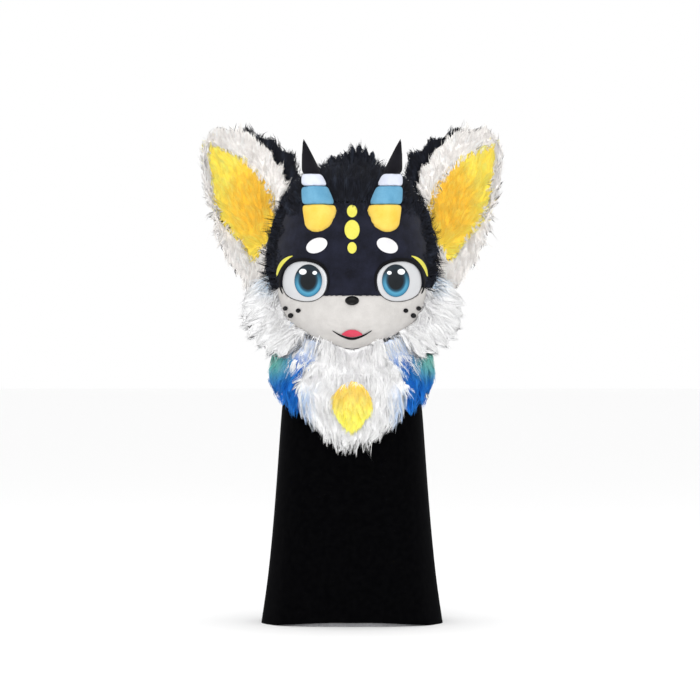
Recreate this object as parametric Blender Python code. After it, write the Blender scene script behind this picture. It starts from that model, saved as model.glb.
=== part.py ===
"""Horned fursuit head with a fur bib, standing on a cloth-covered display form.

Blender 4.5 script. Metres, +Z up. The face looks along -Y and the wearer's left is +X.
The origin is the middle of the form's flat underside, on the table that it stands on.

The head is a hollow shell of foam-backed plush. Its skin is a stack of level rings, so a point
of it is named by an angle round the head and a station from the chin up to the crown.
"""

import math
from collections import namedtuple

import bmesh
import bpy
from mathutils import Vector

MM = 0.001
SEAM = 0.4 * MM
WELD = 0.01 * MM
TURN = math.tau

# The head's skin

HEAD_WALL = 8 * MM
FACE_ANGLE = math.radians(75)
COLUMN = math.radians(7.5)
HAIRLINE = 0.80
CHIN_HEIGHT = 462 * MM
JAW_RISE = 38 * MM
SQUARE_FACE = 2.6
ROUND_BACK = 2.1

Ring = namedtuple("Ring", "station height half_width front back")
HEAD_RINGS = (
    Ring(0.00, 462 * MM, 50 * MM, 72 * MM, 60 * MM),
    Ring(0.08, 480 * MM, 85 * MM, 94 * MM, 78 * MM),
    Ring(0.17, 500 * MM, 105 * MM, 105 * MM, 93 * MM),
    Ring(0.30, 532 * MM, 122 * MM, 114 * MM, 110 * MM),
    Ring(0.42, 565 * MM, 130 * MM, 119 * MM, 122 * MM),
    Ring(0.54, 605 * MM, 133 * MM, 121 * MM, 133 * MM),
    Ring(0.66, 650 * MM, 129 * MM, 118 * MM, 138 * MM),
    Ring(0.77, 695 * MM, 115 * MM, 106 * MM, 131 * MM),
    Ring(0.87, 733 * MM, 92 * MM, 85 * MM, 109 * MM),
    Ring(0.95, 757 * MM, 58 * MM, 54 * MM, 71 * MM),
    Ring(1.00, 768 * MM, 0 * MM, 0 * MM, 0 * MM),
)

Bump = namedtuple("Bump", "x height forward wide tall")
FACE_BUMPS = (
    Bump(0 * MM, 512 * MM, 30 * MM, 44 * MM, 32 * MM),
    Bump(62 * MM, 508 * MM, 7 * MM, 26 * MM, 24 * MM),
    Bump(79 * MM, 575 * MM, -7 * MM, 34 * MM, 28 * MM),
    Bump(60 * MM, 630 * MM, 4 * MM, 40 * MM, 18 * MM),
)

# How far the long fur stands off the skin

SHORT_FUR = 3 * MM
CROWN_FUR = 14 * MM
FUR_EASE_ANGLE = math.radians(22)
FUR_EASE_STATION = 0.09
COMB_DEPTH = 0.45

# Marks and features of the face, by where they stand in a view from the front

EYE_X, EYE_HEIGHT = 79 * MM, 575 * MM
EYE_HALF_WIDTH, EYE_HALF_HEIGHT = 39 * MM, 34 * MM
EYE_SQUARE = 2.4
EYE_TILT = math.radians(8)
EYE_RECESS = 2.5 * MM
EYE_PLATE = 3 * MM
EYE_DOME = 2.5 * MM
IRIS_X, IRIS_HEIGHT, IRIS_HALF_WIDTH, IRIS_HALF_HEIGHT = 73 * MM, 576 * MM, 24 * MM, 28 * MM
IRIS_THICK = 0.8 * MM
MASK_EDGE_HEIGHT = 550 * MM
MASK_EDGE_RISE = 16 * MM
APPLIQUE = 1.6 * MM
LAY = 0.8 * MM

Spot = namedtuple("Spot", "name cloth x height half_width half_height tilt dome columns rows")
FACE_SPOTS = (
    Spot("brow_spot", "white_plush", 58 * MM, 634 * MM, 19 * MM, 12.5 * MM, -22, 0.4 * MM, 16, 2),
    Spot("freckle_outer", "black_plush", 111 * MM, 531 * MM, 4.5 * MM, 4 * MM, 0, 0, 10, 1),
    Spot("freckle_middle", "black_plush", 102 * MM, 519 * MM, 5 * MM, 4.5 * MM, 0, 0, 10, 1),
    Spot("freckle_inner", "black_plush", 89 * MM, 527 * MM, 4.5 * MM, 4 * MM, 0, 0, 10, 1),
)
MIDDLE_SPOTS = (
    Spot("forehead_oval_low", "lemon_plush", 0, 630 * MM, 8 * MM, 10 * MM, 0, 0.4 * MM, 14, 2),
    Spot("forehead_oval_mid", "lemon_plush", 0, 660 * MM, 13 * MM, 17 * MM, 0, 0.4 * MM, 16, 2),
    Spot("forehead_oval_top", "lemon_plush", 0, 691 * MM, 9 * MM, 11 * MM, 0, 0.4 * MM, 14, 2),
    Spot("nose", "nose_plastic", 0, 543 * MM, 12 * MM, 8 * MM, 0, 7 * MM, 16, 3),
)
MOUTH_HALF_WIDTH, MOUTH_HEIGHT, MOUTH_SMILE = 33 * MM, 480 * MM, 14 * MM
LIP_WIDTH = 3.2 * MM
TONGUE_HALF_WIDTH, TONGUE_TALL = 17 * MM, 12 * MM

# The tuft of locks on the crown

TUFT_HALF_WIDTH = 36 * MM
TUFT_Y, TUFT_THICK = -18 * MM, 15 * MM
TUFT_FOOT, TUFT_RISE, TUFT_SIDE_RISE = 756 * MM, 805 * MM, 791 * MM
TUFT_PEAK_X = 10 * MM
TUFT_LOCKS = 7
TUFT_NOTCH = 0.22

# The ears: an outline round the middle of the bowl, seen from the front

EAR_X, EAR_HEIGHT, EAR_Y = 178 * MM, 700 * MM, 18 * MM
EAR_CUP = 40 * MM
EAR_YAW = 0.20
EAR_LEAN = -0.06
EAR_BACK_WALL = 9 * MM
EAR_FUR = 13 * MM
EAR_LINING = 7 * MM
EAR_FRINGE = 9 * MM
EAR_LOCKS = 18

Edge = namedtuple("Edge", "angle reach white lining")
EAR_EDGE = (
    Edge(-112, 140 * MM, 0.90, 0.50),
    Edge(-96, 142 * MM, 1.00, 0.62),
    Edge(-78, 108 * MM, 1.00, 0.54),
    Edge(-54, 79 * MM, 1.00, 0.62),
    Edge(-20, 66 * MM, 1.00, 0.76),
    Edge(8, 69 * MM, 1.00, 0.80),
    Edge(42, 104 * MM, 1.00, 0.82),
    Edge(59, 147 * MM, 1.00, 0.89),
    Edge(73, 148 * MM, 1.00, 0.70),
    Edge(91, 139 * MM, 0.99, 0.61),
    Edge(112, 127 * MM, 0.92, 0.51),
    Edge(134, 122 * MM, 0.83, 0.43),
    Edge(156, 101 * MM, 0.82, 0.45),
    Edge(194, 88 * MM, 0.70, 0.54),
    Edge(228, 110 * MM, 0.68, 0.58),
)

# The horns, in bands from the forehead to the tip

Horn = namedtuple("Horn", "along x y height half_width half_depth")
HORN_RINGS = (
    Horn(0.00, 54 * MM, -104 * MM, 657 * MM, 17 * MM, 11 * MM),
    Horn(0.08, 54 * MM, -106 * MM, 668 * MM, 25 * MM, 16 * MM),
    Horn(0.24, 55 * MM, -108 * MM, 693 * MM, 30 * MM, 18 * MM),
    Horn(0.45, 61 * MM, -107 * MM, 726 * MM, 26 * MM, 16 * MM),
    Horn(0.66, 68 * MM, -103 * MM, 757 * MM, 17.5 * MM, 12 * MM),
    Horn(0.86, 76 * MM, -98 * MM, 791 * MM, 8 * MM, 6 * MM),
    Horn(1.00, 81 * MM, -95 * MM, 813 * MM, 0.6 * MM, 0.5 * MM),
)
HORN_SQUARE = 1.6
HORN_SIDES = 12
Band = namedtuple("Band", "name cloth start end rings")
HORN_BANDS = (
    Band("base", "yellow_minky", 0.00, 0.30, 5),
    Band("middle", "blue_minky", 0.30, 0.50, 3),
    Band("collar", "white_minky", 0.50, 0.64, 2),
    Band("tip", "black_minky", 0.64, 1.00, 4),
)

# The cheek ruffs: roots on the jaw, tips of the locks out beside it

Lock = namedtuple("Lock", "along root_angle root_height tip_x tip_y tip_height thick")
RUFF = (
    Lock(0.00, 84, 586 * MM, 166 * MM, -8 * MM, 574 * MM, 14 * MM),
    Lock(0.20, 80, 562 * MM, 181 * MM, -16 * MM, 548 * MM, 22 * MM),
    Lock(0.40, 77, 536 * MM, 185 * MM, -27 * MM, 517 * MM, 27 * MM),
    Lock(0.60, 72, 512 * MM, 173 * MM, -44 * MM, 486 * MM, 28 * MM),
    Lock(0.80, 62, 498 * MM, 146 * MM, -68 * MM, 460 * MM, 26 * MM),
    Lock(1.00, 48, 488 * MM, 108 * MM, -94 * MM, 446 * MM, 20 * MM),
)
RUFF_LOCKS = 9
RUFF_NOTCH = 0.24
RUFF_BULGE = 9 * MM

# The bib, a fur cape that hangs from the head's lower edge

Cape = namedtuple("Cape", "height half_width front back")
CAPE_RINGS = (
    Cape(280 * MM, 134 * MM, 106 * MM, 106 * MM),
    Cape(350 * MM, 130 * MM, 102 * MM, 102 * MM),
    Cape(400 * MM, 125 * MM, 97 * MM, 97 * MM),
    Cape(430 * MM, 113 * MM, 93 * MM, 92 * MM),
    Cape(460 * MM, 100 * MM, 88 * MM, 84 * MM),
    Cape(500 * MM, 96 * MM, 84 * MM, 80 * MM),
)
Hem = namedtuple("Hem", "angle height fur")
BIB_HEM = (
    Hem(0, 282 * MM, 24 * MM),
    Hem(18, 295 * MM, 24 * MM),
    Hem(30, 322 * MM, 24 * MM),
    Hem(42, 342 * MM, 24 * MM),
    Hem(56, 364 * MM, 26 * MM),
    Hem(72, 390 * MM, 29 * MM),
    Hem(90, 399 * MM, 30 * MM),
    Hem(130, 378 * MM, 22 * MM),
    Hem(180, 360 * MM, 20 * MM),
)
BIB_NOTCH = 0.10
BIB_BACKING = 3 * MM
WHITE_TOP_ANGLE = math.radians(30)
WHITE_HEM_ANGLE = math.radians(43)
BLUE_ANGLE = math.radians(116.25)
CHEST_HEIGHT, CHEST_HALF_WIDTH, CHEST_HALF_HEIGHT = 368 * MM, 31 * MM, 42 * MM
CHEST_PATCH = 3 * MM
CHEST_LAY = 2.2 * MM

# The display form and its cover

Stand = namedtuple("Stand", "height half_width half_depth")
FORM_RINGS = (
    Stand(0 * MM, 144 * MM, 104 * MM),
    Stand(120 * MM, 133 * MM, 96 * MM),
    Stand(260 * MM, 122 * MM, 88 * MM),
    Stand(380 * MM, 114 * MM, 82 * MM),
    Stand(402 * MM, 108 * MM, 76 * MM),
    Stand(418 * MM, 92 * MM, 66 * MM),
    Stand(428 * MM, 66 * MM, 50 * MM),
)
FORM_SQUARE = 2.8
COVER_EASE = 1.0 * MM
COVER_CLOTH = 2.0 * MM
COVER_ROWS = (0, 50 * MM, 120 * MM, 210 * MM, 310 * MM, 380 * MM, 402 * MM, 416 * MM)
COVER_FLARE = 5 * MM
FOLD_WAVES = 7
FOLD_DEPTH = 4 * MM
HEM_LIFT = 5 * MM
POST_RADIUS = 24 * MM
DOME_RADIUS, DOME_TALL = 62 * MM, 56 * MM
DOME_CLEARANCE = 0.5 * MM

CLOTHS = {
    "white_plush": ((0.80, 0.79, 0.78), 0.85),
    "night_plush": ((0.020, 0.021, 0.032), 0.80),
    "black_plush": ((0.010, 0.010, 0.011), 0.80),
    "lemon_plush": ((0.85, 0.78, 0.09), 0.80),
    "white_fur": ((0.82, 0.81, 0.81), 0.90),
    "night_fur": ((0.014, 0.016, 0.024), 0.85),
    "yellow_fur": ((0.87, 0.55, 0.04), 0.85),
    "blue_fur": ((0.02, 0.16, 0.50), 0.85),
    "yellow_minky": ((0.86, 0.66, 0.08), 0.45),
    "blue_minky": ((0.10, 0.34, 0.56), 0.45),
    "white_minky": ((0.78, 0.80, 0.88), 0.45),
    "black_minky": ((0.012, 0.012, 0.016), 0.45),
    "eye_plastic": ((0.72, 0.73, 0.74), 0.15),
    "iris_plastic": ((0.05, 0.26, 0.40), 0.15),
    "nose_plastic": ((0.010, 0.009, 0.009), 0.25),
    "tongue_felt": ((0.78, 0.13, 0.19), 0.60),
    "black_velvet": ((0.004, 0.004, 0.005), 0.95),
    "form_board": ((0.25, 0.25, 0.26), 0.70),
}


def clear_scene():
    for thing in list(bpy.data.objects):
        bpy.data.objects.remove(thing)


def new_collection(name):
    made = bpy.data.collections.new(name)
    bpy.context.scene.collection.children.link(made)
    return made


def ease(share):
    """0 to 1, starting and ending level."""
    share = min(max(share, 0.0), 1.0)
    return share * share * (3 - 2 * share)


def between(rows, key):
    """The table's row at a key, on a smooth curve through all its rows."""
    keys = [row[0] for row in rows]
    key = min(max(key, keys[0]), keys[-1])
    low = max(i for i in range(len(rows) - 1) if keys[i] <= key)
    span = keys[low + 1] - keys[low]
    t = (key - keys[low]) / span
    columns = [key]
    for column in range(1, len(rows[0])):
        value = [row[column] for row in rows]
        slopes = []
        for i in (low, low + 1):
            before, after = max(i - 1, 0), min(i + 1, len(rows) - 1)
            slopes.append((value[after] - value[before]) / (keys[after] - keys[before]) * span)
        columns.append(
            value[low] * (1 + 2 * t) * (1 - t) ** 2
            + slopes[0] * t * (1 - t) ** 2
            + value[low + 1] * t * t * (3 - 2 * t)
            + slopes[1] * t * t * (t - 1)
        )
    return type(rows[0])(*columns)


def rounded(angle, across, along, power):
    """Radius of a rounded rectangle at an angle from its long axis."""
    if across < WELD:
        return 0.0
    side = (abs(math.sin(angle)) / across) ** power
    ahead = (abs(math.cos(angle)) / along) ** power
    return (side + ahead) ** (-1 / power)


def level_point(angle, half_width, front, back, height, power):
    ahead = math.cos(angle) >= 0
    radius = rounded(angle, half_width, front if ahead else back, power if ahead else ROUND_BACK)
    return Vector((radius * math.sin(angle), -radius * math.cos(angle), height))


def relief(x, height, half_width):
    """How far the muzzle, cheeks, brows and eye hollows stand forward of the plain head."""
    fade = max(1 - (abs(x) / max(half_width, WELD)) ** 6, 0.0)
    total = 0.0
    for bump in FACE_BUMPS:
        far = ((abs(x) - bump.x) / bump.wide) ** 2 + ((height - bump.height) / bump.tall) ** 2
        total += bump.forward * math.exp(-far / 2)
    return total * fade


def outward(point):
    """The direction that fur and cloth thickness take, that of a plain egg."""
    middle = Vector((0, 5 * MM, 612 * MM))
    radii = (132 * MM, 128 * MM, 155 * MM)
    steps = [(point[i] - middle[i]) / radii[i] ** 2 for i in range(3)]
    return Vector(steps).normalized()


def skin(angle, station, lift=0.0):
    """A point of the head, lifted off its skin."""
    ring = between(HEAD_RINGS, station)
    point = level_point(angle, ring.half_width, ring.front, ring.back, ring.height, SQUARE_FACE)
    if math.cos(angle) > 0:
        point.y -= relief(point.x, point.z, ring.half_width)
    return point + outward(point) * lift


def station_of(height):
    low, high = 0.0, 1.0
    for _ in range(24):
        middle = (low + high) / 2
        if between(HEAD_RINGS, middle).height < height:
            low = middle
        else:
            high = middle
    return (low + high) / 2


def face(x, height, lift=0.0):
    """The point of the face that stands at x and height in a view from the front."""
    ring = between(HEAD_RINGS, station_of(height))
    share = min(abs(x) / ring.half_width, 0.999)
    depth = ring.front * (1 - share**SQUARE_FACE) ** (1 / SQUARE_FACE)
    point = Vector((x, -depth - relief(x, height, ring.half_width), height))
    return point + outward(point) * lift


def jaw_station(angle):
    """The head's lower edge, lowest at the chin."""
    return station_of(CHIN_HEIGHT + JAW_RISE * ease(abs(angle) / FACE_ANGLE))


def fur_height(angle, station):
    """Height of the long fur, short beside the face and full behind it."""
    aside = (abs(angle) - FACE_ANGLE) / FUR_EASE_ANGLE
    above = (station - HAIRLINE) / FUR_EASE_STATION
    if aside < 0 and above < 0:
        return 0.0
    return SHORT_FUR + (CROWN_FUR - SHORT_FUR) * ease(max(aside, above))


def combed(column, row):
    """Height of a combed lock, from its groove to its tip, as a share of the fur."""
    ridge = (column + row // 2) % 2
    tip = (row + 1) % 2
    return 1 - COMB_DEPTH * (1 - 0.5 * ridge - 0.5 * tip)


def make_material(name):
    colour, roughness = CLOTHS[name]
    material = bpy.data.materials.get(name) or bpy.data.materials.new(name)
    material.use_nodes = True
    material.diffuse_color = (*colour, 1)
    shader = material.node_tree.nodes["Principled BSDF"]
    shader.inputs["Base Color"].default_value = (*colour, 1)
    shader.inputs["Roughness"].default_value = roughness
    shader.inputs["Metallic"].default_value = 0.0
    return material


def finish_mesh(name, bm, cloth):
    bmesh.ops.remove_doubles(bm, verts=bm.verts[:], dist=WELD)
    bmesh.ops.recalc_face_normals(bm, faces=bm.faces[:])
    mesh = bpy.data.meshes.new(name)
    bm.to_mesh(mesh)
    bm.free()
    thing = bpy.data.objects.new(name, mesh)
    GARMENT.objects.link(thing)
    mesh.materials.append(make_material(cloth))
    mesh.shade_smooth()
    mesh.set_sharp_from_angle(angle=math.radians(50))
    return thing


def wall(name, cloth, columns, rows, place, ring=False, pole=None):
    """A sheet of columns by rows cells, made double and bent: place(column, row, outer) puts each corner.

    A ring closes on itself round its columns, and a pole is the row that shrinks to a point.
    """
    bm = bmesh.new()
    bmesh.ops.create_grid(bm, x_segments=columns, y_segments=rows, size=0.5)
    lifted = bmesh.ops.extrude_face_region(bm, geom=bm.faces[:])["geom"]
    outer = {corner for corner in lifted if isinstance(corner, bmesh.types.BMVert)}
    spots = {}
    for corner in bm.verts:
        column = round((corner.co.x + 0.5) * columns)
        row = round((corner.co.y + 0.5) * rows)
        spots[corner] = (column, row, corner in outer)
    idle = []
    for patch in bm.faces:
        at = [spots[corner] for corner in patch.verts]
        edge_columns = {column for column, _, _ in at}
        edge_rows = {row for _, row, _ in at}
        if ring and len(edge_columns) == 1:
            idle.append(patch)
        elif pole is not None and edge_rows == {pole}:
            idle.append(patch)
    bmesh.ops.delete(bm, geom=idle, context="FACES")
    for patch in bm.faces[:]:
        low = min(patch.verts, key=lambda corner: spots[corner][0] + spots[corner][1])
        high = max(patch.verts, key=lambda corner: spots[corner][0] + spots[corner][1])
        if len({spots[corner][2] for corner in patch.verts}) == 1:
            bmesh.utils.face_split(patch, low, high)
    for corner, (column, row, is_outer) in spots.items():
        corner.co = place(column, row, is_outer)
    return finish_mesh(name, bm, cloth)


def tube(name, cloth, columns, rows, place):
    """A closed solid through rings: place(column, row) puts each corner, and both ends are filled."""
    bm = bmesh.new()
    bmesh.ops.create_grid(bm, x_segments=columns, y_segments=rows, size=0.5)
    for corner in bm.verts:
        column = round((corner.co.x + 0.5) * columns)
        corner.co = place(column, round((corner.co.y + 0.5) * rows))
    bmesh.ops.remove_doubles(bm, verts=bm.verts[:], dist=WELD)
    rims = [edge for edge in bm.edges if edge.is_boundary]
    bmesh.ops.holes_fill(bm, edges=rims, sides=columns)
    return finish_mesh(name, bm, cloth)


def as_cutter(thing):
    thing.hide_render = True
    thing.display_type = "WIRE"
    GARMENT.objects.unlink(thing)
    CUTTERS.objects.link(thing)
    return thing


def cut_by(thing, *cutters):
    for cutter in cutters:
        trim = thing.modifiers.new("trim_" + cutter.name, "BOOLEAN")
        trim.operation = "DIFFERENCE"
        trim.object = cutter


def spread(first, last, count, step):
    return first + (last - first) * step / count


def head_cutter():
    """The whole head with its fur, a little larger, which trims what is sewn on from outside."""
    columns, rows, clearance = 48, 20, 0.9 * MM

    def place(column, row):
        angle = spread(-TURN / 2, TURN / 2, columns, column)
        station = row / rows
        return skin(angle, station, fur_height(angle, station) + clearance)

    return as_cutter(tube("head_envelope", "form_board", columns, rows, place))


def eye_outline(turn, grow=0.0):
    """Across and up from the eye's middle, for the wearer's left eye."""
    width, height = EYE_HALF_WIDTH + grow, EYE_HALF_HEIGHT + grow
    radius = rounded(turn + TURN / 4, width, height, EYE_SQUARE)
    return radius * math.cos(turn + EYE_TILT), radius * math.sin(turn + EYE_TILT)


def eye_cutter(side):
    """A straight prism through the face where an eye is set."""
    columns = 24

    def place(column, row):
        across, up = eye_outline(TURN * column / columns)
        return Vector((side * (EYE_X + across), (-180 + 170 * row) * MM, EYE_HEIGHT + up))

    return as_cutter(tube(f"eye_hole_{side}", "form_board", columns, 1, place))


def mask_edge(angle):
    """Where the dark plush of the face meets the white, up at the temples."""
    return MASK_EDGE_HEIGHT + MASK_EDGE_RISE * ease((abs(angle) / FACE_ANGLE - 0.35) / 0.5)


def make_face():
    """The white lower face and the dark mask above it, two short-pile panels on foam."""
    columns = 30
    gap = SEAM / 2
    limit = FACE_ANGLE - gap / (130 * MM)

    def panel(name, cloth, rows, low, high):
        def place(column, row, is_outer):
            angle = spread(-limit, limit, columns, column)
            station = spread(low(angle), high(angle), rows, row)
            return skin(angle, station, 0.0 if is_outer else -HEAD_WALL)

        return wall(name, cloth, columns, rows, place)

    below = panel("face_lower", "white_plush", 7, jaw_station, lambda a: station_of(mask_edge(a) - gap))
    above = panel("face_mask", "night_plush", 8, lambda a: station_of(mask_edge(a) + gap), lambda a: HAIRLINE)
    for side in (-1, 1):
        hole = eye_cutter(side)
        cut_by(below, hole)
        cut_by(above, hole)


def make_crown():
    """The long-furred cap from the hairline over the top of the head."""
    columns, rows = 40, 5
    start = HAIRLINE + 0.0014

    def place(column, row, is_outer):
        angle = spread(-TURN / 2, TURN / 2, columns, column)
        station = spread(start, 1.0, rows, row)
        fur = fur_height(angle, station)
        if row not in (0, rows):
            fur *= combed(column, row)
        return skin(angle, station, fur if is_outer else -HEAD_WALL)

    wall("crown_fur", "night_fur", columns, rows, place, ring=True, pole=rows)


def make_head_back():
    """The long-furred back of the head, from temple to temple."""
    columns, rows = 26, 9
    start = FACE_ANGLE + SEAM / 2 / (130 * MM)

    def place(column, row, is_outer):
        angle = spread(start, TURN - start, columns, column)
        low = jaw_station(FACE_ANGLE)
        station = spread(low, HAIRLINE, rows, row)
        fur = fur_height(min(angle, TURN - angle), station)
        if 0 < row < rows:
            fur *= combed(column, row)
        return skin(angle, station, fur if is_outer else -HEAD_WALL)

    wall("head_back", "night_fur", columns, rows, place)


def make_tuft(head):
    """The upright locks on the crown, highest near the middle."""
    columns, rows = 2 * TUFT_LOCKS, 2

    def place(column, row, is_outer):
        x = spread(-TUFT_HALF_WIDTH, TUFT_HALF_WIDTH, columns, column)
        near = ease(1 - abs(x - TUFT_PEAK_X) / TUFT_HALF_WIDTH)
        top = TUFT_SIDE_RISE + (TUFT_RISE - TUFT_SIDE_RISE) * near
        if column % 2 == 0:
            top -= TUFT_NOTCH * (top - TUFT_FOOT)
        share = row / rows
        thick = TUFT_THICK * (1 - 0.85 * share**2) / 2
        y = TUFT_Y + (thick if is_outer else -thick) + 6 * MM * share
        return Vector((x * (1 + 0.12 * share), y, spread(TUFT_FOOT, top, rows, row)))

    cut_by(wall("crown_tuft", "night_fur", columns, rows, place), head)


def make_spot(spot, side):
    """An oval sewn on the face, made from the face's own points."""
    columns, rows = spot.columns, spot.rows
    tilt = math.radians(spot.tilt)

    def place(column, row, is_outer):
        turn = TURN * column / columns
        share = 1 - row / rows
        across = spot.half_width * share * math.cos(turn)
        up = spot.half_height * share * math.sin(turn)
        x = spot.x + across * math.cos(tilt) - up * math.sin(tilt)
        height = spot.height + across * math.sin(tilt) + up * math.cos(tilt)
        lift = LAY + (APPLIQUE + spot.dome * math.sqrt(1 - share * share) if is_outer else 0)
        return face(side * x, height, lift)

    name = spot.name if spot.x == 0 else f"{spot.name}_{SIDES[side]}"
    wall(name, spot.cloth, columns, rows, place, ring=True, pole=rows)


def make_eye(side):
    """The white eye plate set in its hole, and the blue iris disc on it."""
    columns, rows = 24, 3

    def plate(column, row, is_outer):
        across, up = eye_outline(TURN * column / columns, -SEAM)
        share = 1 - row / rows
        dome = EYE_DOME * (1 - share * share)
        lift = dome - EYE_RECESS if is_outer else dome - EYE_RECESS - EYE_PLATE
        return face(side * (EYE_X + across * share), EYE_HEIGHT + up * share) - Vector((0, lift, 0))

    wall(f"eye_white_{SIDES[side]}", "eye_plastic", columns, rows, plate, ring=True, pole=rows)

    def iris(column, row, is_outer):
        turn = TURN * column / columns
        share = 1 - row / 2
        across = IRIS_X - EYE_X + IRIS_HALF_WIDTH * share * math.cos(turn)
        up = IRIS_HEIGHT - EYE_HEIGHT + IRIS_HALF_HEIGHT * share * math.sin(turn)
        far = math.hypot(across / EYE_HALF_WIDTH, up / EYE_HALF_HEIGHT)
        dome = EYE_DOME * (1 - min(far, 1) ** 2) - EYE_RECESS
        lift = dome + SEAM + 0.2 * MM + (IRIS_THICK if is_outer else 0)
        return face(side * (EYE_X + across), EYE_HEIGHT + up) - Vector((0, lift, 0))

    wall(f"eye_iris_{SIDES[side]}", "iris_plastic", columns, 2, iris, ring=True, pole=2)


def make_strip(name, cloth, columns, side, line, half_width):
    """A narrow shape sewn along a line on the face. line(share) gives x, height and the way across."""

    def place(column, row, is_outer):
        share = column / columns
        x, height, over_x, over_height = line(share)
        offset = half_width(share) * (2 * row - 1)
        x += over_x * offset
        height += over_height * offset
        return face(side * x, height, LAY + (APPLIQUE if is_outer else 0))

    wall(name, cloth, columns, 1, place)


def make_lash(side):
    """The dark line along the upper lid, thickest at the outer corner."""
    start, end = math.radians(-38), math.radians(196)

    def line(share):
        turn = spread(start, end, 1, share)
        across, up = eye_outline(turn, 2.2 * MM)
        length = math.hypot(across, up)
        return EYE_X + across, EYE_HEIGHT + up, across / length, up / length

    def half_width(share):
        return (0.7 + 2.0 * math.sin(math.pi * share) ** 0.7) * MM

    make_strip(f"lash_line_{SIDES[side]}", "black_plush", 18, side, line, half_width)


def make_temple_arc(side):
    """A yellow arc beside the outer corner of the eye."""
    start, end = math.radians(2), math.radians(58)

    def line(share):
        across, up = eye_outline(spread(start, end, 1, share), 9.5 * MM)
        length = math.hypot(across, up)
        return EYE_X + across * 0.97, EYE_HEIGHT + up, across / length, up / length

    def half_width(share):
        return (0.6 + 3.0 * math.sin(math.pi * share)) * MM

    make_strip(f"temple_arc_{SIDES[side]}", "lemon_plush", 8, side, line, half_width)


def smile_height(x):
    return MOUTH_HEIGHT + MOUTH_SMILE * (abs(x) / MOUTH_HALF_WIDTH) ** 1.7


def make_mouth():
    """A smiling lower lip line with the tongue above it."""

    def lip(share):
        x = spread(-MOUTH_HALF_WIDTH, MOUTH_HALF_WIDTH, 1, share)
        return x, smile_height(x), 0, 1

    def lip_half(share):
        return 0.5 * MM + LIP_WIDTH / 2 * math.sin(math.pi * share)

    make_strip("lip_line", "black_plush", 16, 1, lip, lip_half)

    columns, rows = 10, 2

    def tongue(column, row, is_outer):
        x = spread(-TONGUE_HALF_WIDTH, TONGUE_HALF_WIDTH, columns, column)
        low = smile_height(x) + LIP_WIDTH / 2 + 1.0 * MM
        top = low + 0.6 * MM + TONGUE_TALL * (1 - (x / TONGUE_HALF_WIDTH) ** 2)
        swell = 1.2 * MM * math.sin(math.pi * row / rows)
        return face(x, spread(low, top, rows, row), LAY + (APPLIQUE + swell if is_outer else 0))

    wall("tongue", "tongue_felt", columns, rows, tongue)


def ear_point(side, turn, share, forward):
    """A point of the ear's bowl: share 0 at its middle to 1 at its rim, moved forward off the bowl."""
    across = math.cos(turn) * share
    up = math.sin(turn) * share
    rim = ear_rim(turn).reach
    far = min(share, 1.05)
    x = EAR_X + across * rim
    height = EAR_HEIGHT + up * rim
    y = EAR_Y + EAR_YAW * across * rim + EAR_LEAN * up * rim + EAR_CUP * (1 - far * far)
    return Vector((side * x, y - forward, height))


def ear_rim(turn):
    degrees = (math.degrees(turn) + 112) % 360 - 112
    closed = EAR_EDGE + (EAR_EDGE[0]._replace(angle=248),)
    return between(closed, degrees)


def make_ear(side, head):
    """A black foam-backed bowl, its yellow lining, and the white fur round it."""
    columns = 2 * EAR_LOCKS
    seam = SEAM / (60 * MM)

    def shares(column):
        """Where this column's rows lie: dark edge, white edge, middle of the white, lining, its middle."""
        edge = ear_rim(TURN * column / columns)
        notch = 0 if column % 2 else EAR_FRINGE / edge.reach
        white = max(edge.white - notch, edge.lining + 0.05)
        dark = 1 - notch if edge.white < 0.95 else 1 - EAR_FRINGE / edge.reach
        return (max(dark, white), white, (white + edge.lining) / 2, edge.lining, edge.lining / 2, 0.0)

    def back(column, row, is_outer):
        share = shares(column)[row]
        return ear_point(side, TURN * column / columns, share, 0 if is_outer else -EAR_BACK_WALL)

    def lining(column, row, is_outer):
        share = shares(column)[row + 3] * (1 - seam)
        forward = SEAM + (EAR_LINING if is_outer else 0)
        return ear_point(side, TURN * column / columns, share, forward)

    def rim(column, row, is_outer):
        white, middle, inner = shares(column)[1:4]
        share = (white, middle, inner * (1 + seam))[row]
        fur = (2 * MM, EAR_FUR, EAR_LINING)[row]
        forward = SEAM + (fur if is_outer else 0)
        return ear_point(side, TURN * column / columns, share, forward)

    label = SIDES[side]
    pieces = (
        wall(f"ear_back_{label}", "night_fur", columns, 5, back, ring=True, pole=5),
        wall(f"ear_lining_{label}", "yellow_fur", columns, 2, lining, ring=True, pole=2),
        wall(f"ear_rim_{label}", "white_fur", columns, 2, rim, ring=True),
    )
    for piece in pieces:
        cut_by(piece, head)


def make_horn(side, head):
    """A padded horn in four bands, its foot pressed on the forehead."""
    for band in HORN_BANDS:
        gap = SEAM / (160 * MM)
        start = band.start + (gap if band.start else 0)
        end = band.end - (gap if band.end < 1 else 0)

        def place(column, row):
            ring = between(HORN_RINGS, spread(start, end, band.rings, row))
            turn = TURN * column / HORN_SIDES
            radius = rounded(turn, ring.half_width, ring.half_depth, HORN_SQUARE)
            x = ring.x + radius * math.sin(turn)
            return Vector((side * x, ring.y - radius * math.cos(turn), ring.height))

        piece = tube(f"horn_{band.name}_{SIDES[side]}", band.cloth, HORN_SIDES, band.rings, place)
        if band.name in ("base", "middle"):
            cut_by(piece, head)


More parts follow.
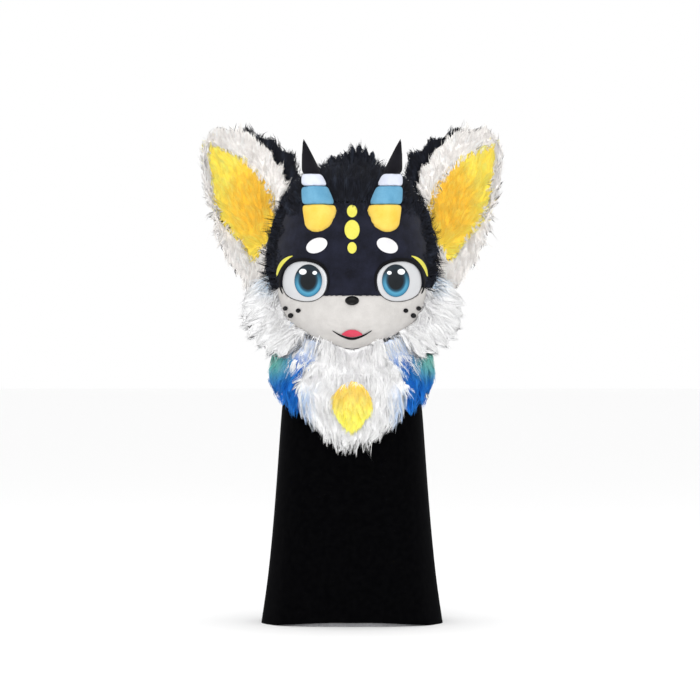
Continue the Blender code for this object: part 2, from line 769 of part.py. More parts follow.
def make_ruff(side, *cutters):
    """The cheek's fan of long white locks, thick at the jaw and pointed at the free edge."""
    columns, rows = 2 * RUFF_LOCKS, 4

    def place(column, row, is_outer):
        lock = between(RUFF, column / columns)
        root = skin(math.radians(lock.root_angle), station_of(lock.root_height), -2 * MM)
        tip = Vector((lock.tip_x, lock.tip_y, lock.tip_height))
        if column % 2 == 0:
            tip = tip.lerp(root, RUFF_NOTCH)
        share = row / rows
        flow = (tip - root).normalized()
        ahead = Vector((0, -1, 0))
        across = (ahead - flow * flow.dot(ahead)).normalized()
        point = root.lerp(tip, share) + Vector((0, 0, 1)) * RUFF_BULGE * math.sin(math.pi * share)
        thick = lock.thick * (1 - 0.85 * share**2)
        point += across * (thick * 0.5 if is_outer else -thick * 0.5)
        return Vector((side * point.x, point.y, point.z))

    piece = wall(f"cheek_ruff_{SIDES[side]}", "white_fur", columns, rows, place)
    cut_by(piece, *cutters)


def bib_hem(angle):
    return between(BIB_HEM, math.degrees(abs(angle)))


def bib_top(angle):
    """Just under the head's lower edge, clear of the fur that hangs there."""
    station = jaw_station(min(abs(angle), FACE_ANGLE))
    return skin(angle, station, fur_height(abs(angle), station)).z - 2 * SEAM


def bib_point(angle, share, out):
    """A point of the bib, from the head's lower edge at 0 to its hem at 1, moved out from its backing."""
    folded = (angle + TURN / 2) % TURN - TURN / 2
    hem = bib_hem(folded)
    station = jaw_station(min(abs(folded), FACE_ANGLE))
    top = skin(folded, station, -HEAD_WALL * 0.9)
    height = spread(bib_top(folded), hem.height, 1, share)
    ring = between(CAPE_RINGS, height)
    hung = level_point(folded, ring.half_width, ring.front, ring.back, height, SQUARE_FACE)
    drape = ease(share / 0.22)
    point = Vector((top.x, top.y, height)).lerp(hung, drape)
    away = Vector((point.x, point.y, 0)).normalized()
    return point + away * out


def bib_fur(angle, share):
    """The fur's height, short where the head overhangs it and thin again at the hem."""
    hem = bib_hem((angle + TURN / 2) % TURN - TURN / 2)
    return BIB_BACKING + (hem.fur - BIB_BACKING) * ease(share * 2.5) * (1 - 0.8 * share**5)


def bib_cutter():
    """The bib with its fur, a little larger, which trims the locks that lie over it."""
    columns, rows, clearance = 40, 8, 1.0 * MM

    def place(column, row):
        angle = spread(-TURN / 2, TURN / 2, columns, column)
        share = row / rows
        return bib_point(angle, share, bib_fur(angle, share) + clearance)

    return as_cutter(tube("bib_envelope", "form_board", columns, rows, place))


def white_edge(share):
    """The angle where the white front meets the blue, wider towards the hem."""
    return WHITE_TOP_ANGLE + (WHITE_HEM_ANGLE - WHITE_TOP_ANGLE) * ease(share / 0.7)


def make_bib_panel(name, cloth, start, end, columns, rows):
    """One fur panel of the bib, between two edges, with a hem of pointed locks."""

    def place(column, row, is_outer):
        share = row / rows
        angle = spread(start(share), end(share), columns, column)
        fur = bib_fur(angle, share)
        if 0 < row < rows:
            fur *= combed(column, row)
        reach = 1 if column % 2 else 1 - BIB_NOTCH
        return bib_point(angle, share * reach, fur if is_outer else 0)

    return wall(name, cloth, columns, rows, place)


def make_bib():
    """White front, blue sides and dark blue back, seamed side by side."""
    gap = SEAM / (110 * MM)

    def white(share):
        return white_edge(share) - gap

    def inner(share):
        return white_edge(share) + gap

    def outer(share):
        return BLUE_ANGLE - gap

    def back(share):
        return BLUE_ANGLE + gap

    make_bib_panel("bib_front", "white_fur", lambda a: -white(a), white, 20, 6)
    make_bib_panel("bib_side_left", "blue_fur", inner, outer, 14, 6)
    make_bib_panel("bib_side_right", "blue_fur", lambda a: -outer(a), lambda a: -inner(a), 14, 6)
    make_bib_panel("bib_back", "blue_fur", back, lambda a: TURN - back(a), 22, 6)


def make_chest_patch():
    """The yellow patch on the breast, laid on the front panel's fur."""
    columns, rows = 20, 2

    def place(column, row, is_outer):
        turn = TURN * column / columns
        share = 1 - row / rows
        up = math.sin(turn) * share
        narrow = 1 - 0.45 * max(-math.sin(turn), 0)
        x = CHEST_HALF_WIDTH * narrow * math.cos(turn) * share
        height = CHEST_HEIGHT + CHEST_HALF_HEIGHT * up
        angle = math.asin(x / (120 * MM))
        top = bib_top(angle)
        along = (height - top) / (bib_hem(angle).height - top)
        out = bib_fur(angle, along) + CHEST_LAY + (CHEST_PATCH if is_outer else 0)
        return bib_point(angle, along, out)

    wall("chest_patch", "yellow_fur", columns, rows, place, ring=True, pole=rows)


def form_point(angle, height, lift=0.0):
    ring = between(FORM_RINGS, height)
    radius = rounded(angle, ring.half_width + lift, ring.half_depth + lift, FORM_SQUARE)
    return Vector((radius * math.sin(angle), -radius * math.cos(angle), height))


def make_stand():
    """A smooth limbless form, its neck post and the dome that the head sits on."""
    columns, rows = 32, len(FORM_RINGS) - 1

    def body(column, row):
        return form_point(TURN * column / columns, FORM_RINGS[row].height)

    tube("display_form", "form_board", columns, rows, body)

    form_top = FORM_RINGS[-1].height
    dome_top = HEAD_RINGS[-1].height - HEAD_WALL - DOME_CLEARANCE
    dome_foot = dome_top - DOME_TALL

    def post(column, row):
        turn = TURN * column / 16
        height = form_top + SEAM if row == 0 else dome_foot - SEAM
        return Vector((POST_RADIUS * math.sin(turn), -POST_RADIUS * math.cos(turn), height))

    tube("neck_post", "form_board", 16, 1, post)

    def dome(column, row):
        turn = TURN * column / 20
        lean = TURN / 4 * row / 4
        radius = DOME_RADIUS * math.cos(lean)
        height = dome_foot + DOME_TALL * math.sin(lean)
        return Vector((radius * math.sin(turn), -radius * math.cos(turn), height))

    tube("head_rest", "form_board", 20, 4, dome)


def make_cover():
    """The black cover, sewn from a front and a back, with slack folds and a hem on the table."""
    columns, rows = 24, len(COVER_ROWS) - 1

    def panel(name, middle):
        half = TURN / 4 - SEAM / (120 * MM)

        def place(column, row, is_outer):
            angle = middle + spread(-half, half, columns, column)
            low = HEM_LIFT * ease((0.5 - abs(angle) / TURN * 3.2) * 3) if middle == 0 else 0.0
            height = low if row == 0 else COVER_ROWS[row]
            share = height / COVER_ROWS[-1]
            slack = FOLD_DEPTH * (1 - share) ** 1.5
            fold = slack * (0.5 + 0.5 * math.cos(FOLD_WAVES * 2 * angle))
            flare = COVER_FLARE * (1 - share) ** 6
            lift = COVER_EASE + fold + flare + (COVER_CLOTH if is_outer else 0)
            return form_point(angle, height, lift)

        wall(name, "black_velvet", columns, rows, place)

    panel("cover_front", 0.0)
    panel("cover_back", TURN / 2)


clear_scene()
GARMENT = new_collection("fursuit_head_on_display_form")
CUTTERS = new_collection("cutters")
SIDES = {1: "left", -1: "right"}

make_stand()
make_cover()
make_face()
make_crown()
make_head_back()
HEAD_CUTTER = head_cutter()
BIB_CUTTER = bib_cutter()
make_tuft(HEAD_CUTTER)
for half in (1, -1):
    make_eye(half)
    make_lash(half)
    make_temple_arc(half)
    for mark in FACE_SPOTS:
        make_spot(mark, half)
    make_horn(half, HEAD_CUTTER)
    make_ear(half, HEAD_CUTTER)
    make_ruff(half, HEAD_CUTTER, BIB_CUTTER)
for mark in MIDDLE_SPOTS:
    make_spot(mark, 1)
make_mouth()
make_bib()
make_chest_patch()
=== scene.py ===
import math

import bpy
import numpy as np
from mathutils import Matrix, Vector, bvhtree, kdtree


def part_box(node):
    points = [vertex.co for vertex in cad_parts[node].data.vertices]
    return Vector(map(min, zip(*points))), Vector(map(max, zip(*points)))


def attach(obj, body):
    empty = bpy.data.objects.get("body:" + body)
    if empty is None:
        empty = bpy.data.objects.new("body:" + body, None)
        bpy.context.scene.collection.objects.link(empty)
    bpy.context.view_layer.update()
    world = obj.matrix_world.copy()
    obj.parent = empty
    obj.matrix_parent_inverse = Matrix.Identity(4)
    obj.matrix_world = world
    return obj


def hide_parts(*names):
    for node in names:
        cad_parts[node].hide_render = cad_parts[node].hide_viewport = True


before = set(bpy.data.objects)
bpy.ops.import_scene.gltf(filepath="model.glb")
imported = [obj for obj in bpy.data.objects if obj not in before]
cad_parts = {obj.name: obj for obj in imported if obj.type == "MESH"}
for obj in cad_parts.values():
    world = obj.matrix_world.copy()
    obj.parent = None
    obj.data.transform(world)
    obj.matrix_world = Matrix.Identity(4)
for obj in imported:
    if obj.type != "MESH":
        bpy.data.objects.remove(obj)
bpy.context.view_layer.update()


# The display form, its neck post and the rest under the crown. Pressed board, smooth and grey with a
# flat primer, glued up in one piece. The cover and the head hide all of it but the underside.
MM = 0.001


def linear(colour):
    """A #rrggbb colour as the linear values that a shader takes."""
    parts = [int(colour[i : i + 2], 16) / 255 for i in (1, 3, 5)]
    return tuple(v / 12.92 if v <= 0.04045 else ((v + 0.055) / 1.055) ** 2.4 for v in parts) + (1.0,)


def add(tree, kind, inputs=None, **settings):
    """Adds a node with its settings. An input that is (node, output) is linked."""
    made = tree.nodes.new("ShaderNode" + kind)
    for key, value in settings.items():
        setattr(made, key, value)
    for key, value in (inputs or {}).items():
        if isinstance(value, tuple) and isinstance(value[0], bpy.types.Node):
            tree.links.new(value[0].outputs[value[1]], made.inputs[key])
        else:
            made.inputs[key].default_value = value
    return made


def start_material(name, colour, roughness, **sockets):
    """A material of one shader, and the tree and shader that its pattern is linked to."""
    material = bpy.data.materials.new(name)
    material.use_nodes = True
    tree = material.node_tree
    shader = tree.nodes["Principled BSDF"]
    shader.inputs["Base Color"].default_value = linear(colour)
    shader.inputs["Roughness"].default_value = roughness
    for key, value in sockets.items():
        shader.inputs[key.replace("_", " ")].default_value = value
    return material, tree, shader


def ramp(tree, source, stops, output="Color"):
    """A colour ramp over another node's value, from (place, colour) stops."""
    made = add(tree, "ValToRGB", {"Fac": (source, output)})
    for index, (place, colour) in enumerate(stops):
        stop = made.color_ramp.elements[index] if index < 2 else made.color_ramp.elements.new(place)
        stop.position = place
        stop.color = linear(colour)
    return made


def paint(piece, material):
    piece.data.materials.clear()
    piece.data.materials.append(material)


def board_material():
    # primed board: flat grey with a faint fibre mottle, dry to the eye
    material, tree, shader = start_material("primed_board", "#8a8a8c", 0.75)
    place = add(tree, "TexCoord")
    fibre = add(tree, "TexNoise", {"Vector": (place, "Object"), "Scale": 1 / (4 * MM), "Detail": 6.0})
    tint = ramp(tree, fibre, [(0.3, "#808083"), (0.7, "#939396")], "Fac")
    tree.links.new(tint.outputs["Color"], shader.inputs["Base Color"])
    bump = add(tree, "Bump", {"Height": (fibre, "Fac"), "Strength": 0.25, "Distance": 0.2 * MM})
    tree.links.new(bump.outputs["Normal"], shader.inputs["Normal"])
    return material


BOARD = board_material()
for part in ("display_form", "neck_post", "head_rest"):
    paint(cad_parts[part], BOARD)


# The cover: a front and a back of black velveteen, sewn up the sides in raised seams and dropped over the
# form, so it hangs in a few slack folds to a hem on the table.
def select_only(piece):
    bpy.ops.object.select_all(action="DESELECT")
    piece.select_set(True)
    bpy.context.view_layer.objects.active = piece


def apply_modifier(piece, kind, **settings):
    select_only(piece)
    change = piece.modifiers.new(kind.lower(), kind)
    for key, value in settings.items():
        setattr(change, key, value)
    bpy.ops.object.modifier_apply(modifier=change.name)


def copy_of(node, name):
    """A merged copy of a solid, to be worked into the piece that stands for it."""
    piece = bpy.data.objects.new(name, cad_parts[node].data.copy())
    bpy.context.scene.collection.objects.link(piece)
    select_only(piece)
    bpy.ops.object.mode_set(mode="EDIT")
    bpy.ops.mesh.select_all(action="SELECT")
    bpy.ops.mesh.remove_doubles(threshold=0.02 * MM)
    bpy.ops.mesh.tris_convert_to_quads(face_threshold=math.radians(25), shape_threshold=math.radians(60))
    bpy.ops.object.mode_set(mode="OBJECT")
    bpy.ops.object.shade_smooth()
    piece.data.materials.clear()
    return piece


def wear(piece, material, node):
    """The piece takes its material, rides with the part and stands for its solid."""
    paint(piece, material)
    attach(piece, "root")
    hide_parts(node)


def corners_of(piece):
    flat = np.empty(len(piece.data.vertices) * 3)
    piece.data.vertices.foreach_get("co", flat)
    return flat.reshape(-1, 3)


def move_corners(piece, points):
    piece.data.vertices.foreach_set("co", points.ravel())
    piece.data.update()


def tree_of(*pieces):
    """The faces of some pieces, to be searched."""
    points, faces = [], []
    for piece in pieces:
        start = len(points)
        points += [corner.co.copy() for corner in piece.data.vertices]
        faces += [[start + i for i in face.vertices] for face in piece.data.polygons]
    return bvhtree.BVHTree.FromPolygons(points, faces)


def velveteen_material():
    # black cotton velveteen: soaks up light, with a faint grey bloom where the pile turns away
    material, tree, shader = start_material(
        "black_velveteen", "#020203", 0.95, Specular_IOR_Level=0.03, Sheen_Weight=0.02, Sheen_Roughness=0.45
    )
    shader.inputs["Sheen Tint"].default_value = linear("#9a9aa6")
    place = add(tree, "TexCoord")
    nap = add(tree, "TexNoise", {"Vector": (place, "Object"), "Scale": 1 / (9 * MM), "Detail": 8.0})
    tint = ramp(tree, nap, [(0.35, "#010102"), (0.7, "#040405")], "Fac")
    tree.links.new(tint.outputs["Color"], shader.inputs["Base Color"])
    pile = add(tree, "TexNoise", {"Vector": (place, "Object"), "Scale": 1 / (0.9 * MM), "Detail": 3.0})
    bump = add(tree, "Bump", {"Height": (pile, "Fac"), "Strength": 0.35, "Distance": 0.3 * MM})
    tree.links.new(bump.outputs["Normal"], shader.inputs["Normal"])
    return material


def keep_corners(cloth):
    """The edges at the side seams and at the hem stay sharp, so the halves meet down to the table."""
    points = corners_of(cloth)
    held = cloth.data.attributes.new("crease_edge", "FLOAT", "EDGE")
    for edge in cloth.data.edges:
        ends = points[list(edge.vertices)]
        at_side = (np.abs(ends[:, 1]) < 1.5 * MM).all()
        at_hem = (ends[:, 2] < 0.5 * MM).all()
        is_long = np.linalg.norm(ends[1] - ends[0]) > 4 * MM
        if (at_side and at_hem) or (is_long and (at_side or at_hem)):
            held.data[edge.index].value = 1.0


VELVETEEN = velveteen_material()
COVER_HALF_HEM, COVER_LENGTH = 440 * MM, 425 * MM
SEAM_START, SEAM_STEP, SEAM_RADIUS = 4 * MM, 10 * MM, 1.1 * MM

for half in ("front", "back"):
    cloth = copy_of(f"cover_{half}", f"cover_{half}_cloth")
    keep_corners(cloth)
    apply_modifier(cloth, "SUBSURF", levels=2, render_levels=2)
    wear(cloth, VELVETEEN, f"cover_{half}")

# Each side seam shows as a thin raised ridge, which runs up the edge of the back half.
cover_back = tree_of(cloth)
for side, sign in (("left", 1), ("right", -1)):
    line = []
    for height in np.arange(SEAM_START, COVER_LENGTH, SEAM_STEP):
        spot = cover_back.ray_cast((sign, 3 * MM, height), (-sign, 0, 0))[0]
        if spot:
            line.append((spot.x, 0, height))
    ridge = bpy.data.curves.new(f"side_seam_{side}", "CURVE")
    ridge.dimensions = "3D"
    ridge.bevel_depth = SEAM_RADIUS
    ridge.use_fill_caps = True
    run = ridge.splines.new("POLY")
    run.points.add(len(line) - 1)
    for point, place in zip(run.points, line):
        point.co = (*place, 1)
    seam = bpy.data.objects.new(f"side_seam_{side}", ridge)
    bpy.context.scene.collection.objects.link(seam)
    select_only(seam)
    bpy.ops.object.convert(target="MESH")
    bpy.ops.object.shade_smooth()
    paint(seam, VELVETEEN)
    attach(seam, "root")


# The face: white and blue-black short plush glued on a foam shell in two panels, butted along the
# cheek line, with the plush rolled in at every edge. A soft crease runs out from each mouth corner.
def soften(node, name, voxel, rounds, shrink=0.0, levels=0, keep=1.0):
    """A padded piece from its solid: remeshed, eased all over, and drawn in under its pile."""
    piece = copy_of(node, name)
    if levels:
        apply_modifier(piece, "SUBSURF", levels=levels, render_levels=levels)
    apply_modifier(piece, "REMESH", mode="VOXEL", voxel_size=voxel, use_smooth_shade=True)
    apply_modifier(piece, "SMOOTH", factor=0.5, iterations=rounds)
    if keep < 1:
        apply_modifier(piece, "DECIMATE", ratio=keep)
    if shrink:
        apply_modifier(piece, "DISPLACE", strength=-shrink, mid_level=0.0)
    return piece


def plush_material(name, low, high, sheen, nap=1.6 * MM):
    # short polyester plush: matt, softly mottled where the pile leans, with a pale rim of light
    material, tree, shader = start_material(
        name, high, 0.95, Specular_IOR_Level=0.08, Sheen_Weight=sheen, Sheen_Roughness=0.6
    )
    place = add(tree, "TexCoord")
    lean = add(tree, "TexNoise", {"Vector": (place, "Object"), "Scale": 1 / (22 * MM), "Detail": 4.0})
    pile = add(tree, "TexNoise", {"Vector": (place, "Object"), "Scale": 1 / nap, "Detail": 4.0, "Roughness": 0.7})
    both = add(tree, "Mix", {"Factor": 0.45, "A": (lean, "Fac"), "B": (pile, "Fac")})
    tint = ramp(tree, both, [(0.36, low), (0.62, high)], "Result")
    tree.links.new(tint.outputs["Color"], shader.inputs["Base Color"])
    bump = add(tree, "Bump", {"Height": (pile, "Fac"), "Strength": 0.4, "Distance": 0.6 * MM})
    tree.links.new(bump.outputs["Normal"], shader.inputs["Normal"])
    return material


WHITE_PLUSH = plush_material("white_short_plush", "#b8b5b2", "#c6c3c0", 0.05)
NIGHT_PLUSH = plush_material("night_short_plush", "#11121a", "#1f212f", 0.05)
MOUTH_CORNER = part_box("lip_line")[1].z
CREASE_START, CREASE_RUN, CREASE_RISE = 22 * MM, 28 * MM, 14 * MM
CREASE_WIDTH, CREASE_DEPTH = 2.4 * MM, 1.8 * MM


def crease_cheeks(panel):
    """A shallow fold out and up from each corner of the mouth, fading at both its ends."""
    points = corners_of(panel)
    along = np.clip((np.abs(points[:, 0]) - CREASE_START) / CREASE_RUN, 0, 1)
    height = MOUTH_CORNER + CREASE_RISE * along**1.4
    strength = np.interp(along, (0, 0.15, 0.7, 1), (0, 1, 0.8, 0)) * (points[:, 1] < 0)
    points[:, 1] += CREASE_DEPTH * strength * np.exp(-(((points[:, 2] - height) / CREASE_WIDTH) ** 2))
    move_corners(panel, points)


panels = {}
for node, material, slot in (
    ("face_lower", WHITE_PLUSH, "white_plush"),
    ("face_mask", NIGHT_PLUSH, "night_plush"),
):
    panel = panels[node] = soften(node, node + "_plush", 2.7 * MM, 3, -0.4 * MM, keep=0.5)
    if node == "face_lower":
        crease_cheeks(panel)
    wear(panel, material, node)


# Shapes cut from plush and sewn flat on the face: brow ovals, freckles, forehead ovals, an arc beside
# each eye and the dark line of the upper lid. Their edges are rolled under by the stitches.
BLACK_PLUSH = plush_material("black_short_plush", "#08080a", "#121216", 0.04)
PATCH_PLUSH = plush_material("white_patch_plush", "#d2d1d4", "#dedddf", 0.05)
LEMON_PLUSH = plush_material("lemon_short_plush", "#cdc64c", "#d9d364", 0.03)


def rounded(node, name, material):
    piece = copy_of(node, name)
    apply_modifier(piece, "SUBSURF", levels=2, render_levels=2)
    wear(piece, material, node)
    return piece


def sewn(node, material):
    """A flat piece of cloth on the face."""
    piece = rounded(node, node + "_patch", material)


for side in ("left", "right"):
    sewn(f"brow_spot_{side}", PATCH_PLUSH)
    sewn(f"temple_arc_{side}", LEMON_PLUSH)
    sewn(f"lash_line_{side}", BLACK_PLUSH)
    sewn(f"freckle_inner_{side}", BLACK_PLUSH)
    sewn(f"freckle_middle_{side}", BLACK_PLUSH)
    sewn(f"freckle_outer_{side}", BLACK_PLUSH)
sewn("forehead_oval_low", LEMON_PLUSH)
sewn("forehead_oval_mid", LEMON_PLUSH)
sewn("forehead_oval_top", LEMON_PLUSH)


# The eyes: a domed white plate set in its hole from behind, and a printed disc under clear gloss,
# blue with a dark middle and two small lights.
def eye_plate_material():
    # vacuum-formed acrylic: white with a faint cloudy mottle, hard and glossy
    material, tree, shader = start_material("white_acrylic", "#bfc0c2", 0.3, Coat_Weight=0.2)
    place = add(tree, "TexCoord")
    cloud = add(tree, "TexNoise", {"Vector": (place, "Object"), "Scale": 1 / (60 * MM)})
    tint = ramp(tree, cloud, [(0.3, "#b9bbbe"), (0.7, "#c6c7c9")], "Fac")
    tree.links.new(tint.outputs["Color"], shader.inputs["Base Color"])
    return material


def iris_material(side, sign, middle):
    # printed disc under clear resin: rings of blue round a soft dark middle, darker under the lid
    material, tree, shader = start_material(
        f"printed_iris_{side}", "#3f7f9f", 0.3, Coat_Weight=0.1, Specular_IOR_Level=0.15
    )
    place = add(tree, "TexCoord")

    def oval(x, height, wide, tall):
        """Distance from a point of the disc as a share of an oval's half sizes."""
        shift = add(tree, "Mapping", {"Vector": (place, "Object")}, vector_type="POINT")
        shift.inputs["Scale"].default_value = (1 / wide, 0, 1 / tall)
        shift.inputs["Location"].default_value = (-x / wide, 0, -height / tall)
        return add(tree, "VectorMath", {0: (shift, "Vector")}, operation="LENGTH")

    blues = [
        (0.0, "#101418"),
        (0.50, "#14191d"),
        (0.62, "#22485c"),
        (0.74, "#4d94b3"),
        (0.90, "#3a7c9b"),
        (0.99, "#1b4a61"),
    ]
    rings = ramp(tree, oval(middle[0], middle[2], IRIS_HALF_WIDTH, IRIS_HALF_HEIGHT), blues, "Value")
    level = add(tree, "SeparateXYZ", {"Vector": (place, "Object")})
    lid = {"From Min": middle[2] - 8 * MM, "From Max": middle[2] + 15 * MM, "To Max": 0.97}
    shade = add(tree, "MapRange", {"Value": (level, "Z"), **lid})
    inks = {"Factor": (shade, "Result"), "A": (rings, "Color"), "B": linear("#171c22")}
    printed = add(tree, "Mix", inks, data_type="RGBA")
    fade = {"From Min": 0.8, "From Max": 1.05, "To Min": 1.0, "To Max": 0.0}
    for x, height, wide, tall in IRIS_LIGHTS:
        spot = oval(middle[0] + sign * x * MM, middle[2] + height * MM, wide * MM, tall * MM)
        edge = add(tree, "MapRange", {"Value": (spot, "Value"), **fade})
        inks = {"Factor": (edge, "Result"), "A": (printed, "Result"), "B": linear("#f4f8fa")}
        printed = add(tree, "Mix", inks, data_type="RGBA")
    tree.links.new(printed.outputs["Result"], shader.inputs["Base Color"])
    return material


ACRYLIC = eye_plate_material()
IRIS_HALF_WIDTH, IRIS_HALF_HEIGHT = 24 * MM, 28 * MM
# each light's place from the disc's middle and its half sizes, in mm
IRIS_LIGHTS = ((9, 15, 6.5, 5), (-11, 13, 4, 3.2))
for side, sign in (("left", 1), ("right", -1)):
    rounded(f"eye_white_{side}", f"eye_plate_{side}", ACRYLIC)
    low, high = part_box(f"eye_iris_{side}")
    rounded(f"eye_iris_{side}", f"eye_disc_{side}", iris_material(side, sign, (low + high) / 2))


# Nose, lip and tongue: a small glossy moulded nose, a black plush lip line and a felt tongue, glued on.
def nose_material():
    # moulded vinyl: near black, satin, with a fine leather grain
    material, tree, shader = start_material("moulded_vinyl", "#040405", 0.36, Specular_IOR_Level=0.2)
    place = add(tree, "TexCoord")
    grain = add(tree, "TexVoronoi", {"Vector": (place, "Object"), "Scale": 1 / (1.4 * MM)})
    bump = add(tree, "Bump", {"Height": (grain, "Distance"), "Strength": 0.2, "Distance": 0.2 * MM})
    tree.links.new(bump.outputs["Normal"], shader.inputs["Normal"])
    return material


rounded("nose", "nose_moulding", nose_material())
ROSE_FELT = plush_material("rose_felt", "#c0394f", "#cf4c61", 0.04, 1.1 * MM)
sewn("lip_line", BLACK_PLUSH)
sewn("tongue", ROSE_FELT)


# The horns: foam cones pushed through the mask, covered in smooth minky in four bands, each seam drawn
# in by its thread.
HORN_CLOTHS = {
    "base": ("yellow_minky", "#deb642", "#e9ca62"),
    "middle": ("blue_minky", "#4f88a8", "#6aa0be"),
    "collar": ("white_minky", "#c2c6d4", "#d2d6e2"),
    "tip": ("black_minky", "#0c0b10", "#17161c"),
}
MASK_TREE = tree_of(panels["face_mask"])


def sunk(points, under, depth):
    """Points near a surface pushed in under it, so that the two pieces meet in a clean line."""
    moved = points.copy()
    for index, point in enumerate(points):
        spot, normal, _, _ = under.find_nearest(point)
        height = (Vector(point) - spot).dot(normal)
        if height < depth:
            moved[index] -= np.array(normal) * (depth - height) * 0.9
    return moved


for band, (slot, low, high) in HORN_CLOTHS.items():
    minky = plush_material("smooth_" + slot, low, high, 0.04, 1.0 * MM)
    for side in ("left", "right"):
        node = f"horn_{band}_{side}"
        piece = soften(node, node + "_minky", 1.3 * MM, 9, -0.5 * MM, levels=2, keep=0.5)
        if band == "base":
            move_corners(piece, sunk(corners_of(piece), MASK_TREE, 5 * MM))
        wear(piece, minky, node)


# Long pile: the crown, the tuft on it and the back of the head. Blue-black faux fur on a knitted
# backing, brushed back from the face into pointed locks that reach over the seams. More locks, sewn in
# along the hairline and the temples, cover the mask's edge.
def unit(vectors):
    return vectors / np.maximum(np.linalg.norm(vectors, axis=1, keepdims=True), 1e-9)


def normals_of(piece):
    flat = np.empty(len(piece.data.vertices) * 3)
    piece.data.vertex_normals.foreach_get("vector", flat)
    return flat.reshape(-1, 3)


def scatter(skin, count, rng, shows):
    """Random places on the side of a skin that shows, with their normals."""
    mesh = skin.data
    mesh.calc_loop_triangles()
    points, normals = corners_of(skin), normals_of(skin)
    corners = np.empty(len(mesh.loop_triangles) * 3, int)
    mesh.loop_triangles.foreach_get("vertices", corners)
    corners = corners.reshape(-1, 3)
    corners = corners[shows(points[corners].mean(1), unit(normals[corners].mean(1)))]
    a, b, c = (points[corners[:, i]] for i in range(3))
    area = np.linalg.norm(np.cross(b - a, c - a), axis=1)
    pick = corners[rng.choice(len(corners), count, p=area / area.sum())]
    share = rng.random((count, 2))
    share = np.where(share.sum(1, keepdims=True) > 1, 1 - share, share)
    weight = np.column_stack([1 - share.sum(1), share])[:, :, None]
    return (points[pick] * weight).sum(1), unit((normals[pick] * weight).sum(1)), area.sum()


def nearest_lock(roots, locks):
    """For each hair, the nearest of the first few hairs, which lead the locks."""
    tree = kdtree.KDTree(locks)
    for index in range(locks):
        tree.insert(roots[index], index)
    tree.balance()
    return np.array([tree.find(root)[1] for root in roots])


def outline_of(*nodes):
    """The solids that a pile is kept to."""
    return tree_of(*[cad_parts[node] for node in nodes])


def pressed(tips, outline, over):
    """Tips that pass the outline by more than over are laid back down to it."""
    kept = tips.copy()
    for index, tip in enumerate(tips):
        spot, normal, _, away = outline.find_nearest(tip)
        step = Vector(tip) - spot
        if away > over[index] and step.dot(normal) > -0.7 * away:
            kept[index] = spot + step * (over[index] / away)
    return kept


def write_tint(mesh, colours):
    kept = mesh.color_attributes.new("tint", "FLOAT_COLOR", "POINT")
    kept.data.foreach_set("color", np.column_stack([np.clip(colours, 0, 1), np.ones(len(colours))]).ravel())


def blended(share, *stops):
    """Colour from root to tip through stops of (share, colour). The darker root colours are painted shade deep in
    the pile.
    """
    places = [place for place, _ in stops]
    table = np.array([linear(colour)[:3] for _, colour in stops])
    return np.column_stack([np.interp(share, places, table[:, i]) for i in range(3)])


TURNS = [(math.cos(turn), math.sin(turn)) for turn in (0.5, 0.5 + math.tau / 3, 0.5 + 2 * math.tau / 3)]


